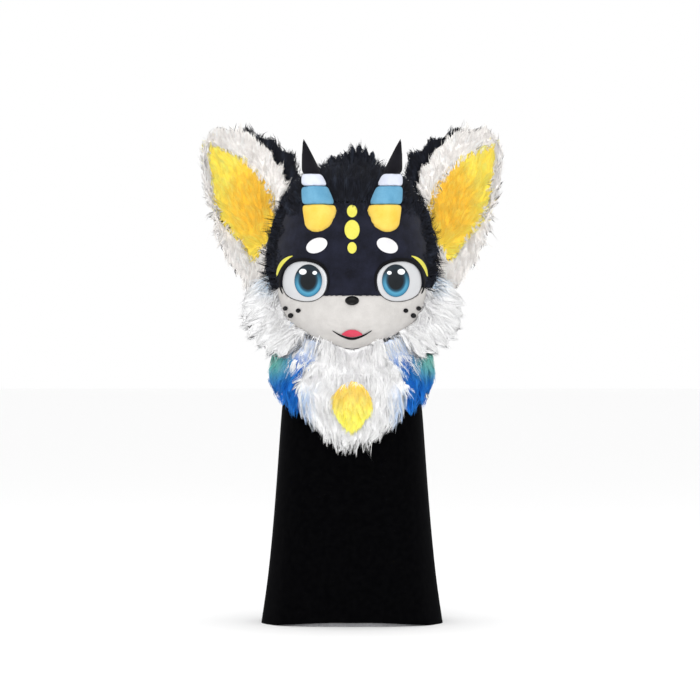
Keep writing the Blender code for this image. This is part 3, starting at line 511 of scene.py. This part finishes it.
def hairs(
    rng, skin, count, bent, length, flow, shows, across, gather, stand, wild, wave, thick, outline, over
):
    """Tapered hairs on a skin: their corners, faces, shares from root to tip, tones and normals."""
    roots, out, area = scatter(skin, count, rng, shows)
    locks = int(np.clip(area / across**2, 4, count))
    lock = nearest_lock(roots, locks)
    # each hair leans the way it is brushed, straying with its lock, by itself and in a slow ripple
    way = unit(flow(roots, out)) + rng.normal(0, wild, (locks, 3))[lock] + rng.normal(0, wild * 0.6, (count, 3))
    way += 0.12 * np.sin(roots[:, [2, 0, 1]] * 70 + (0.4, 1.9, 3.1))
    way = unit(way - out * (way * out).sum(1, keepdims=True) * 0.7)
    full = length(roots) if callable(length) else length
    reach = full * (0.78 + 0.4 * rng.random(locks))[lock] * (0.78 + 0.24 * rng.random(count))
    reach = reach[:, None]
    # its middle and its tip are drawn in towards the hair that leads the lock, and bend with the lock
    middle = roots + unit(way + out * stand) * reach * 0.5
    tip = middle + unit(way + out * stand * 0.15) * reach * 0.5
    middle += (middle[lock] - middle) * gather * 0.35
    tip += (tip[lock] - tip) * gather
    bend = unit(np.cross(way, out)) * (rng.normal(0, wave, locks)[lock] * reach[:, 0])[:, None]
    middle += bend
    tip -= bend * 0.6
    if outline:
        allowed = over(roots) if callable(over) else over
        loose = (0.3 + 1.2 * rng.random(count) ** 2) * (0.5 + 2.4 * rng.random(locks) ** 3)[lock]
        kept = pressed(tip, outline, allowed * loose)
        middle += (kept - tip) * 0.45
        tip = kept
    # a tapered tube of three sides, rooted a little under the skin
    side = unit(np.cross(tip - roots, out))
    top = unit(np.cross(tip - roots, side))
    width = (thick * (0.7 + 0.6 * rng.random(count)))[:, None]
    rings = [roots - out * 1.5 * MM + (side * x + top * y) * width * 0.5 for x, y in TURNS]
    around = [side * x + top * y for x, y in TURNS]
    shares = [0.0, 0.0, 0.0]
    if bent:
        rings += [middle + (side * x + top * y) * width * 0.4 for x, y in TURNS]
        around += around
        shares += [0.55, 0.55, 0.55]
    points = np.stack([*rings, tip], axis=1)
    size = points.shape[1]
    base = np.arange(count)[:, None] * size
    last = size - 1
    cone = [[last - 3, last - 2, last], [last - 2, last - 1, last], [last - 1, last - 3, last], [0, 2, 1]]
    faces = (base + np.array(cone).ravel()).reshape(-1, 3).tolist()
    if bent:
        wall = [[0, 1, 4, 3], [1, 2, 5, 4], [2, 0, 3, 5]]
        faces += (base + np.array(wall).ravel()).reshape(-1, 4).tolist()
    # hairs far from their leader get painted shade, darker towards the lock's edge as if shadowed between locks,
    # and the normals round the lock off
    apart = roots - roots[lock]
    off = np.linalg.norm(apart, axis=1, keepdims=True)
    toward_lock_edge = np.clip(off / across, 0, 1)
    tone = (0.9 + 0.2 * rng.random(locks))[lock] * (0.93 + 0.14 * rng.random(count))
    # painted shade between the locks, deepest at each lock's edge
    tone = tone * (1.03 - 0.14 * toward_lock_edge[:, 0] ** 2)
    along = unit(tip - roots)
    facing = unit(out * 1.1 - along * (out * along).sum(1, keepdims=True))
    soft = unit(facing + unit(apart) * toward_lock_edge * 0.45)
    soft = unit((np.stack([*around, facing], axis=1) * 0.3 + soft[:, None]).reshape(-1, 3))
    return points.reshape(-1, 3), faces, np.tile([*shares, 1.0], count), np.repeat(tone, size), soft


def short(length):
    """The length of the hairs below the guard hairs."""
    return (lambda roots: length(roots) * 0.55) if callable(length) else length * 0.55


def lay_pile(
    name, skin, material, counts, length, flow, tint, shows, seed, across=11 * MM, gather=0.62,
    stand=0.4, wild=0.13, wave=0.04, thick=1 * MM, outline=None, over=3 * MM,
):
    """Long pile on a skin. counts is its guard hairs, drawn into locks, and the short hairs below them.

    flow(roots, normals) is the way it is brushed, and tint(points, share) its colour from root to tip.
    """
    rng = np.random.default_rng(seed)
    cut = {"flow": flow, "shows": shows, "across": across, "thick": thick, "outline": outline, "over": over}
    guard = {"gather": gather, "stand": stand, "wild": wild, "wave": wave}
    layers = [hairs(rng, skin, counts[0], True, length, **guard, **cut)]
    if counts[1]:
        # the short hairs stand up more, hardly gather into locks, and take colours nearer the root, painted shade
        # deep in the pile
        loose = {"gather": 0.3, "stand": stand * 1.5, "wild": wild * 1.6, "wave": 0}
        below = hairs(rng, skin, counts[1], False, short(length), **loose, **cut)
        below[2][:] *= 0.7
        layers.append(below)
    start = len(layers[0][0])
    faces = layers[0][1]
    for layer in layers[1:]:
        faces = faces + [[corner + start for corner in face] for face in layer[1]]
    points, shares, tones, normals = (np.concatenate([layer[i] for layer in layers]) for i in (0, 2, 3, 4))
    mesh = bpy.data.meshes.new(name)
    mesh.from_pydata(points.tolist(), [], faces)
    write_tint(mesh, tint(points, shares) * tones[:, None])
    mesh.shade_smooth()
    mesh.normals_split_custom_set_from_vertices(normals.tolist())
    pile = bpy.data.objects.new(name, mesh)
    bpy.context.scene.collection.objects.link(pile)
    paint(pile, material)
    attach(pile, "root")
    return pile


def pile_material(name, sheen, roughness=0.75):
    # long modacrylic pile: each hair takes its own tone from the tint, soft and a little silky
    material, tree, shader = start_material(
        name, "#808080", roughness, Specular_IOR_Level=0.25, Sheen_Weight=sheen, Sheen_Roughness=0.4
    )
    tint = add(tree, "Attribute", attribute_name="tint")
    place = add(tree, "TexCoord")
    strand = add(tree, "TexNoise", {"Vector": (place, "Object"), "Scale": 1 / (2.5 * MM), "Detail": 3.0})
    spread = {"From Min": 0.3, "From Max": 0.7, "To Min": 0.94, "To Max": 1.08}
    tone = add(tree, "MapRange", {"Value": (strand, "Fac"), **spread})
    mixed = add(tree, "Mix", {6: (tint, "Color"), 7: (tone, "Result")}, data_type="RGBA", blend_type="MULTIPLY")
    mixed.inputs[0].default_value = 1.0
    tree.links.new(mixed.outputs[2], shader.inputs["Base Color"])
    return material


def furred(node, name, material, tint, voxel=3 * MM, rounds=4, shrink=4 * MM, keep=0.4):
    """The dense undercoat of a fur piece, below the tips that its solid reaches to.

    shrink may be a function of the points, for a piece that keeps its full size at a seam.
    """
    coat = soften(node, name, voxel, rounds, keep=keep)
    points = corners_of(coat)
    depth = shrink(points)[:, None] if callable(shrink) else shrink
    move_corners(coat, points - normals_of(coat) * depth)
    # the undercoat takes the colour three tenths of the way from the root, painted shade deep in the pile
    write_tint(coat.data, tint(points, np.full(len(points), 0.3)))
    wear(coat, material, node)
    return coat


def night_tint(points, share):
    """Blue-black, with paler smoky streaks in a wavy pattern across it."""
    dark = blended(share, (0, "#090a10"), (0.55, "#14161f"), (1, "#262a37"))
    pale = blended(share, (0, "#12151d"), (0.55, "#252a36"), (1, "#454c5b"))
    x, y, z = points.T
    streak = np.sin(x * 330 + 2.1 * np.sin(z * 47 + y * 29)) * np.sin(z * 61 - y * 40 + 1.3 * np.sin(x * 90))
    streak = np.clip(streak, 0, 1)[:, None] ** 1.5
    return dark * (1 - streak) + pale * streak


AXIS_BACK, HEAD_MIDDLE_Z = 5 * MM, 0.6


def around_head(points):
    """Angle from straight ahead, in degrees, round the head's upright axis."""
    return np.degrees(np.abs(np.arctan2(points[:, 0], -(points[:, 1] - AXIS_BACK))))


def from_axis(points):
    """Level directions away from the head's upright axis."""
    return unit((points - (0, AXIS_BACK, 0)) * (1, 1, 0))


def faces_out(points, normals):
    return (unit(points - (0, AXIS_BACK, HEAD_MIDDLE_Z)) * normals).sum(1) > 0.0


def falls_back(at, out):
    """Up from the hairline, over the top and down across the seam behind."""
    past_top = np.clip((at[:, 1:2] + 0.03) / 0.07, 0, 1)
    return at * (7, 0, 0) + (1 - past_top) * (0, 0.45, 0.8) + past_top * (0, 0.8, -0.9)


TUFT_PEAK, PEAK_WIDTH = 8 * MM, 0.012


def near_peak(roots):
    """1 where the tuft's one tall lock stands, falling to 0 beside it."""
    return np.exp(-(((roots[:, 0] - TUFT_PEAK) / PEAK_WIDTH) ** 2))


def reach_over(piece, edge, depth, by, where):
    """A seam's fur edge is drawn out over the seam. by is signed, up or down."""
    points = corners_of(piece)
    near = np.clip(1 - np.abs(points[:, 2] - edge(points)) / depth, 0, 1)
    points[:, 2] += near * by * where(points)
    move_corners(piece, points)


def behind(points):
    """0 at the brow and 1 from the middle of the head back, so the hairline in front stays put."""
    return np.clip(points[:, 1] / 0.03 + 1.5, 0, 1)


NIGHT_PILE = pile_material("night_long_pile", 0.0, 0.9)
HAIRLINE_Z = 0.707
MASK_LOCKS_Z = 0.682
crown = furred(
    "crown_fur", "crown_undercoat", NIGHT_PILE, night_tint,
    voxel=4 * MM, shrink=lambda at: np.where(at[:, 1] > -0.05, 3, 1.5) * MM,
)
reach_over(crown, lambda at: HAIRLINE_Z, 18 * MM, -7 * MM, behind)
lay_pile(
    "crown_pile", crown, NIGHT_PILE, (3600, 2200), 34 * MM,
    falls_back, night_tint, faces_out, seed=11, stand=0.7,
    outline=outline_of("crown_fur", "crown_tuft", "head_back"), over=6 * MM,
)
tuft = furred("crown_tuft", "tuft_undercoat", NIGHT_PILE, night_tint, 1.8 * MM, 3, 0.5 * MM)
reach_over(tuft, lambda at: at[:, 2].min(), 14 * MM, -8 * MM, lambda at: 1)
lay_pile(
    "tuft_pile", tuft, NIGHT_PILE, (900, 300),
    lambda at: (14 + 20 * near_peak(at)) * MM,
    lambda at, out: (at - (TUFT_PEAK, 0, 0)) * (3, 0, 0) + (0, 0.1, 1), night_tint,
    lambda at, out: out[:, 2] > -0.9, seed=12, stand=0.25, across=8 * MM, gather=0.75,
    outline=outline_of("crown_tuft", "crown_fur"), over=lambda at: (2 + 7 * near_peak(at)) * MM,
)
nape = furred(
    "head_back", "head_back_undercoat", NIGHT_PILE, night_tint,
    voxel=4.2 * MM, shrink=lambda at: np.interp(around_head(at), (76, 95), (0.5, 4)) * MM,
)
reach_over(nape, lambda at: HAIRLINE_Z, 16 * MM, 5 * MM, behind)
reach_over(nape, lambda at: at[:, 2].min(), 16 * MM, -7 * MM, lambda at: 1)
lay_pile(
    "head_back_pile", nape, NIGHT_PILE, (4000, 2000), 40 * MM,
    lambda at, out: from_axis(at) * 0.2 + (0, 0.45, -1), night_tint, faces_out, seed=13,
    outline=outline_of("head_back", "bib_back", "bib_side_left", "bib_side_right"), over=6 * MM,
    across=14 * MM, thick=1.4 * MM,
)
lay_pile(
    "hairline_pile", panels["face_mask"], NIGHT_PILE, (900, 500),
    lambda at: np.interp(at[:, 2], (MASK_LOCKS_Z, 0.70), (7, 22)) * MM,
    lambda at, out: at * (5, 0, 0) + (0, 0.3, 1), night_tint,
    lambda at, out: faces_out(at, out) & (at[:, 2] > MASK_LOCKS_Z), seed=14, stand=0.35, across=8 * MM,
)
lay_pile(
    "temple_pile", panels["face_mask"], NIGHT_PILE, (1300, 700),
    lambda at: np.interp(around_head(at), (60, 71), (6, 34)) * MM,
    lambda at, out: np.sign(at) * (1, 0, 0) + (at - (0, 0, HEAD_MIDDLE_Z)) * (0, 0, 6) + (0, 0.35, 0),
    night_tint,
    lambda at, out: faces_out(at, out) & (around_head(at) > 60 + 4 * np.sin(at[:, 2] * 150)), seed=15,
    stand=0.5, across=10 * MM, wild=0.22,
)


# The ears: a foam bowl backed in blue-black fur, lined with yellow, with a white fringe between that
# sweeps up the inner side and hangs in fluff below. Locks of the fringe fall over the lining's edge.
EAR_MIDDLE = np.array([178 * MM, 0.03, 700 * MM])


def white_tint(points, share):
    return blended(share, (0, "#f4f3f6"), (0.3, "#fcfcfd"), (1, "#ffffff"))


def yellow_tint(points, share):
    lemon = blended(share, (0, "#fbd642"), (0.5, "#ffe75a"), (1, "#fff284"))
    deep = blended(share, (0, "#f4b02a"), (0.5, "#ffca3e"), (1, "#ffdb66"))
    across = (np.abs(points[:, 0]) - 0.170) / 0.045
    up = (points[:, 2] - 0.715) / 0.075
    depth = np.clip(1.25 - across**2 * 0.9 - up**2, 0, 1)[:, None]
    return lemon * (1 - depth) + deep * depth


def fringe_tint(points, share):
    return white_tint(points, share) * (0.97, 0.93, 0.89)


WHITE_PILE = pile_material("white_long_pile", 0.2, 0.9)
YELLOW_PILE = pile_material("yellow_long_pile", 0.1, 0.8)


def ear_fan(sign, rise, heart=(0, 0, 0)):
    """The way that an ear's pile is brushed: out from its heart and up, or down below its middle."""

    def flow(at, out):
        fan = unit((at - (EAR_MIDDLE + heart) * (sign, 1, 1)) * (1, 0.1, 1))
        fan[:, 2] += np.clip((at[:, 2] - 0.70) / 0.05, -1, 1) * rise
        return fan

    return flow


def ear_turn(at):
    """Angle of a place round the ear's middle, from straight out, past the tip, to the head's side."""
    return np.degrees(np.arctan2(at[:, 2] - EAR_MIDDLE[2], np.abs(at[:, 0]) - EAR_MIDDLE[0])) % 360


def inner_side(at):
    """How far a place is on the ear's inner and upper side, where the dark edge shows, from 0 to 1."""
    return np.interp(ear_turn(at), (70, 115, 165, 195), (0, 1, 1, 0))


def open_ahead(tree, points):
    """Whether a place can be seen from straight in front of some pieces."""
    return np.array([tree.ray_cast(point, (0, -1, 0))[0] is None for point in points])


for side, sign, seed in (("left", 1, 20), ("right", -1, 40)):
    back = furred(
        f"ear_back_{side}", f"ear_back_undercoat_{side}", NIGHT_PILE, night_tint,
        3 * MM, 3, 1 * MM,
    )
    rim = furred(
        f"ear_rim_{side}", f"ear_fringe_undercoat_{side}", WHITE_PILE, fringe_tint,
        2.2 * MM, 3, 1 * MM,
    )
    # the fringe is drawn in on the ear's inner side, where the dark edge shows past it
    points = corners_of(rim)
    spoke = (points - EAR_MIDDLE * (sign, 1, 1)) * (1, 0, 1)
    reach = np.linalg.norm(spoke, axis=1)
    drawn = inner_side(points) * np.clip((reach - 0.045) / 0.03, 0, 1) * 0.09
    move_corners(rim, points - spoke * drawn[:, None])
    lay_pile(
        f"ear_fringe_pile_{side}", rim, WHITE_PILE, (3300, 2800),
        lambda at: (32 - 12 * inner_side(at)) * MM,
        ear_fan(sign, 0.4), fringe_tint, lambda at, out: out[:, 1] < 0.5, seed + 2, across=8 * MM,
        outline=tree_of(rim), over=lambda at: (5 - 2.5 * inner_side(at)) * MM,
    )
    lining = furred(
        f"ear_lining_{side}", f"ear_lining_undercoat_{side}", YELLOW_PILE, yellow_tint,
        2.2 * MM, 3, 0.0,
    )
    lay_pile(
        f"ear_lining_pile_{side}", lining, YELLOW_PILE, (2200, 1600), 26 * MM,
        ear_fan(sign, 0.2, (-0.03, 0, -0.07)), yellow_tint, lambda at, out: out[:, 1] < 0.2, seed + 3,
        across=12 * MM, stand=0.25, wild=0.2,
        outline=outline_of(f"ear_lining_{side}", f"ear_rim_{side}"), over=5 * MM,
    )
    before, yellow = tree_of(rim, lining), tree_of(lining)
    heart = corners_of(lining).mean(0)
    lay_pile(
        f"ear_edge_pile_{side}", rim, WHITE_PILE, (1100, 0), 15 * MM,
        lambda at, out, heart=heart: unit((heart - at) * (1, 0.2, 1)) + (0, -0.2, -0.35), fringe_tint,
        lambda at, out, yellow=yellow: np.array([yellow.find_nearest(point)[3] < 7 * MM for point in at])
        & (out[:, 1] < 0.4),
        seed + 4, across=6 * MM, stand=0.4, gather=0.7, wild=0.35, outline=before, over=6 * MM,
    )
    lay_pile(
        f"ear_back_pile_{side}", back, NIGHT_PILE, (2500, 1300), 22 * MM, ear_fan(sign, 0.5),
        night_tint,
        lambda at, out, before=before: (out[:, 1] > 0.3)
        | ((inner_side(at) > 0.1) & open_ahead(before, at + out * MM)),
        seed + 1, across=10 * MM, thick=1.3 * MM, outline=outline_of(f"ear_back_{side}"), over=4 * MM,
    )


# The cheek ruffs: fans of long white fur stitched along the jaw over a little wadding, brushed out and
# down, with a few pale blue locks at the top. Shorter locks cover the seam and the jaw's edge.
def ruff_tint(points, share):
    white = white_tint(points, share)
    high = np.clip((points[:, 2] - 0.545) / 0.02, 0, 1)
    high = high * np.clip(1 - np.abs(np.abs(points[:, 0]) - 0.145) / 0.03, 0, 1)
    cold = (high * (0.5 + 0.5 * np.sin(points[:, 2] * 900)) * 0.8)[:, None]
    return white * (1 - cold) + np.array(linear("#7fb4dc")[:3]) * cold


def fanned(at, out):
    return unit((at - (0, 0, 0.575)) * (1, 0.5, 1)) + (0, 0, -0.25)


FACE_TREE = tree_of(panels["face_lower"])


def from_face(points):
    """Each point's distance from the lower face."""
    return np.array([FACE_TREE.find_nearest(point)[3] for point in points])


def ruff_depth(points):
    """How far the ruff's undercoat is drawn in: not at all where it is sewn to the face."""
    return np.interp(from_face(points), (3 * MM, 14 * MM), (-0.5, 2.5)) * MM


for side, sign in (("left", 1), ("right", -1)):
    ruff = furred(
        f"cheek_ruff_{side}", f"ruff_undercoat_{side}", WHITE_PILE, ruff_tint,
        3 * MM, 4, ruff_depth,
    )
    lay_pile(
        f"ruff_pile_{side}", ruff, WHITE_PILE, (4000, 2600), 50 * MM, fanned, ruff_tint,
        lambda at, out: np.abs(at[:, 0]) > 0.08, 61 + sign, across=10 * MM, stand=0.35, wave=0.06, wild=0.16,
        outline=outline_of(f"cheek_ruff_{side}"), over=4 * MM,
    )
    lay_pile(
        f"ruff_edge_pile_{side}", ruff, WHITE_PILE, (800, 0), 15 * MM,
        lambda at, out, sign=sign: np.tile((-0.35 * sign, -0.3, -1), (len(at), 1)), white_tint,
        lambda at, out: (from_face(at) < 8 * MM) & ((from_axis(at) * out).sum(1) < 0.75) & (out[:, 1] < 0.3),
        91 + sign, across=6 * MM, stand=0.5, gather=0.7, wild=0.35,
        outline=tree_of(ruff, panels["face_lower"]), over=5 * MM,
    )
CHIN_EDGE = 0.471
lay_pile(
    "jaw_pile", panels["face_lower"], WHITE_PILE, (1300, 500),
    lambda at: np.interp(around_head(at), (18, 30, 50, 70), (6, 10, 15, 22)) * MM,
    lambda at, out: at * (9, 0, 0) + (0, 0.1, -1), white_tint,
    lambda at, out: faces_out(at, out)
    & ((around_head(at) > 68) | (at[:, 2] < CHIN_EDGE + 0.045 * np.clip(around_head(at) / 75, 0, 1) ** 1.6))
    & (around_head(at) > 18),
    64, stand=0.22, across=8 * MM, wave=0.03,
)


# The bib: four panels of long fur on knitted backing, sewn side by side and hung from the head's lower
# edge, white in front and blue round the sides and back, with a yellow patch set in at the breast. Locks
# are brushed over its seams, its hem and the patch's upper edge, and white ones fall from the ruffs.
def blue_tint(points, share):
    """Royal blue, sea green high at the sides and nearly white up under the jaw."""
    blue = blended(share, (0, "#003c94"), (0.5, "#005fbd"), (1, "#3189de"))
    teal = blended(share, (0, "#3a9fa4"), (0.5, "#6fd0c2"), (1, "#b4eee0"))
    x, z = np.abs(points[:, 0]), points[:, 2]
    high = (np.clip((z - 0.405) / 0.03, 0, 1) * np.clip((x - 0.095) / 0.03, 0, 1))[:, None]
    under_jaw = np.clip((z - 0.43 - 0.35 * np.clip(x - 0.07, 0, 1)) / 0.02, 0, 1)
    under_jaw = under_jaw * np.clip((0.115 - x) / 0.02, 0, 1) * (points[:, 1] < 0)
    under_jaw = (under_jaw * np.interp(z, (0.43, 0.46), (0.6, 0.95)))[:, None]
    dyed = blue * (1 - high) + teal * high
    return dyed * (1 - under_jaw) + np.array(linear("#dbe6f8")[:3]) * under_jaw


def breast_tint(points, share):
    """White, with a few pale blue streaks low at both sides."""
    edge = np.clip((np.abs(points[:, 0]) - 0.058) / 0.02, 0, 1) * np.clip((0.405 - points[:, 2]) / 0.03, 0, 1)
    cold = (edge * (0.45 + 0.45 * np.sin(points[:, 0] * 700 + points[:, 2] * 90)))[:, None]
    return white_tint(points, share) * (1 - cold) + np.array(linear("#8fbcf2")[:3]) * cold


def hangs(at, out):
    return from_axis(at) * 0.1 + at * (1.5, 0, 0) + (0, 0, -1)


def draws_in(at, out):
    way = from_axis(at) * 0.1 + (0, 0, -1)
    way[:, 0] += at[:, 0] * np.interp(at[:, 2], (0.30, 0.38, 0.44), (-7, -2, 2))
    return way


def breast_length(at):
    """Longest down the middle, shorter by the side seams."""
    return np.interp(np.abs(at[:, 0]), (0.055, 0.085), (50, 32)) * MM


def shows_on_bib(at, out):
    return ((from_axis(at) * out).sum(1) > 0.25) | (out[:, 2] < -0.35)


def fall_tint(points, share):
    """White locks off the ruffs that turn pale blue where they end."""
    tip = np.clip((FALL_END - points[:, 2]) / 0.014, 0, 1)[:, None] * 0.55
    return white_tint(points, share) * (1 - tip) + np.array(linear("#8fc0f2")[:3]) * tip


def outward_and_down(outward):
    """Brushed down and away from the middle of the bib on both sides."""
    return lambda at, out: np.sign(at) * (outward, 0, 0) + (0, 0, -1)


BLUE_PILE = pile_material("blue_long_pile", 0.03, 0.85)
WHITE, BLUE = (WHITE_PILE, "white_fur", breast_tint), (BLUE_PILE, "blue_fur", blue_tint)
# each panel's fur, its counts of guard and short hairs, their length and thickness, and its cut size and area
BIB_PANELS = (
    ("bib_front", WHITE, (6500, 4600), breast_length, 1.0 * MM, (0.170, 0.180), 0.0235),
    ("bib_side_left", BLUE, (2900, 1900), 44 * MM, 1.1 * MM, (0.165, 0.130), 0.0180),
    ("bib_side_right", BLUE, (2900, 1900), 44 * MM, 1.1 * MM, (0.165, 0.130), 0.0180),
    ("bib_back", BLUE, (2700, 1500), 44 * MM, 1.4 * MM, (0.270, 0.120), 0.0270),
)
BIB_TOP, TUCK_DEPTH = 0.455, 0.012
FALL_END, PATCH_TOP = 0.432, 0.413
bib = {}
for number, (node, fur, counts, length, thick, flat, area) in enumerate(BIB_PANELS):
    material, slot, tint = fur
    is_front = node == "bib_front"
    panel = bib[node] = furred(
        node, node + "_undercoat", material, tint, 3.2 * MM, 5,
        lambda at: np.interp(at[:, 2], (0.41, 0.45), (2.5, 0.5)) * MM,
    )
    # the backing ends above the tips of its hair, and its top is drawn up behind the jaw
    points = corners_of(panel)
    points[:, 2] = BIB_TOP - (BIB_TOP - points[:, 2]) * (0.87 if is_front else 0.92)
    tucked = np.clip((points[:, 2] - (points[:, 2].max() - TUCK_DEPTH)) / TUCK_DEPTH, 0, 1)[:, None]
    rise = np.interp(np.abs(points[:, 0]), (0.03, 0.045, 0.085, 0.11), (10, 38, 40, 16)) * (points[:, 1] < 0)
    rise = np.maximum(rise, 10)[:, None] * MM
    outward = np.interp(rise, (10 * MM, 38 * MM), (-3 * MM, 8 * MM))
    points += tucked * (rise * (0, 0, 1) + from_axis(points) * outward)
    move_corners(panel, points)
    pile = lay_pile(
        node + "_pile", panel, material, counts, length, draws_in if is_front else hangs, tint,
        shows_on_bib, 71 + number, across=12 * MM, stand=0.4, wave=0.09, thick=thick,
        outline=tree_of(panel) if is_front else outline_of(node), over=(4.5 if is_front else 2.5) * MM,
    )

lay_pile(
    "bib_hem_pile", bib["bib_front"], WHITE_PILE, (1700, 0), 44 * MM, draws_in, breast_tint,
    lambda at, out: shows_on_bib(at, out) & (at[:, 2] < 0.325 + 1.1 * np.abs(at[:, 0])), 79,
    across=9 * MM, gather=0.92, stand=0.12, wave=0.08, wild=0.16, outline=outline_of("bib_front"), over=7 * MM,
)
lay_pile(
    "breast_edge_pile", bib["bib_front"], WHITE_PILE, (700, 0), 26 * MM, hangs, breast_tint,
    lambda at, out: shows_on_bib(at, out) & (np.abs(at[:, 0]) < 0.034) & (np.abs(at[:, 2] - PATCH_TOP) < 0.012),
    80, across=7 * MM, gather=0.75, stand=0.7, wave=0.08, wild=0.2,
    outline=outline_of("chest_patch", "bib_front"), over=6 * MM,
)
for node in ("bib_side_left", "bib_side_right"):
    lay_pile(
        f"ruff_fall_{node}", bib[node], WHITE_PILE, (1400, 0), 32 * MM, outward_and_down(0.35),
        fall_tint,
        lambda at, out: shows_on_bib(at, out)
        & (at[:, 2] > FALL_END)
        & (np.abs(at[:, 0]) < 0.105)
        & (at[:, 1] < -0.03),
        84, across=8 * MM, gather=0.75, stand=0.35, wave=0.06, wild=0.18,
        outline=outline_of(node), over=3.5 * MM,
    )
bib_sides = outline_of("bib_side_left", "bib_side_right")
lay_pile(
    "bib_seam_pile", bib["bib_front"], WHITE_PILE, (1500, 0), 30 * MM, outward_and_down(0.45),
    breast_tint,
    lambda at, out: np.array([bib_sides.find_nearest(point)[3] < 9 * MM for point in at])
    & (out[:, 1] < 0.5)
    & (at[:, 2] > 0.35),
    82, across=8 * MM, gather=0.75, stand=0.35, wave=0.08, wild=0.18,
    outline=outline_of("bib_front", "bib_side_left", "bib_side_right"), over=3.5 * MM,
)


def patch_tint(points, share):
    """Deep yellow at the top of the patch and lemon at its foot."""
    low = np.clip((0.385 - points[:, 2]) / 0.04, 0, 1)[:, None]
    top = blended(share, (0, "#fbc94c"), (0.5, "#ffd964"), (1, "#ffe58a"))
    foot = blended(share, (0, "#f6e444"), (0.5, "#fff25c"), (1, "#fff886"))
    return top * (1 - low) + foot * low


patch = furred(
    "chest_patch", "breast_patch_undercoat", YELLOW_PILE, patch_tint, 1.5 * MM, 3, 0.6 * MM
)
patch_pile = lay_pile(
    "breast_patch_pile", patch, YELLOW_PILE, (1200, 500), 28 * MM, hangs, patch_tint,
    lambda at, out: out[:, 1] < 0.0, 81, across=9 * MM, stand=0.3,
    outline=outline_of("chest_patch"), over=4 * MM,
)


# The studio: a pale floor, even white air, three soft boxes and a long lens at the height of the bib.
bpy.ops.object.select_all(action="DESELECT")
bpy.ops.mesh.primitive_plane_add(size=60)
floor = bpy.context.object
floor.name = "studio_floor"
paper, tree, shader = start_material("studio_paper", "#fbfbfb", 0.95, Specular_IOR_Level=0.05)
place = add(tree, "TexCoord")
tooth = add(tree, "TexNoise", {"Vector": (place, "Object"), "Scale": 1 / (3 * MM)})
bump = add(tree, "Bump", {"Height": (tooth, "Fac"), "Strength": 0.05, "Distance": 0.1 * MM})
tree.links.new(bump.outputs["Normal"], shader.inputs["Normal"])
paint(floor, paper)


def soft_box(name, place, aim, power, size):
    lamp = bpy.data.lights.new(name, "AREA")
    lamp.energy = power
    lamp.shape = "SQUARE"
    lamp.size = size
    holder = bpy.data.objects.new(name, lamp)
    bpy.context.scene.collection.objects.link(holder)
    holder.location = place
    holder.rotation_euler = (Vector(aim) - Vector(place)).to_track_quat("-Z", "Y").to_euler()


soft_box("key_box", (-0.4, -4.5, 1.0), (0, 0, 0.5), 74, 1.6)
soft_box("fill_box", (1.5, -3.3, 0.9), (0, 0, 0.5), 8, 1.8)
soft_box("top_box", (0, 0.3, 3.0), (0, 0, 0.4), 14, 1.6)
world = bpy.data.worlds.new("studio_air")
bpy.context.scene.world = world
world.use_nodes = True
world.node_tree.nodes["Background"].inputs["Color"].default_value = linear("#ffffff")
world.node_tree.nodes["Background"].inputs["Strength"].default_value = 1.0

PIXEL = 1.7 * MM
PHOTO_SIDE = 700
AXIS_PIXEL, FLOOR_PIXEL = 352, 621
CAMERA_DISTANCE = 5.0
centre_x = (PHOTO_SIDE / 2 - AXIS_PIXEL) * PIXEL
centre_height = (FLOOR_PIXEL - PHOTO_SIDE / 2) * PIXEL
lens = bpy.data.cameras.new("camera")
lens.sensor_width = 36
lens.lens = 36 * CAMERA_DISTANCE / (PHOTO_SIDE * PIXEL)
lens.clip_start, lens.clip_end = 0.1, 50
camera = bpy.data.objects.new("camera", lens)
bpy.context.scene.collection.objects.link(camera)
camera.location = (centre_x, -CAMERA_DISTANCE, centre_height)
camera.rotation_euler = (math.pi / 2, 0, 0)
bpy.context.scene.camera = camera
bpy.context.scene.view_settings.view_transform = "Standard"
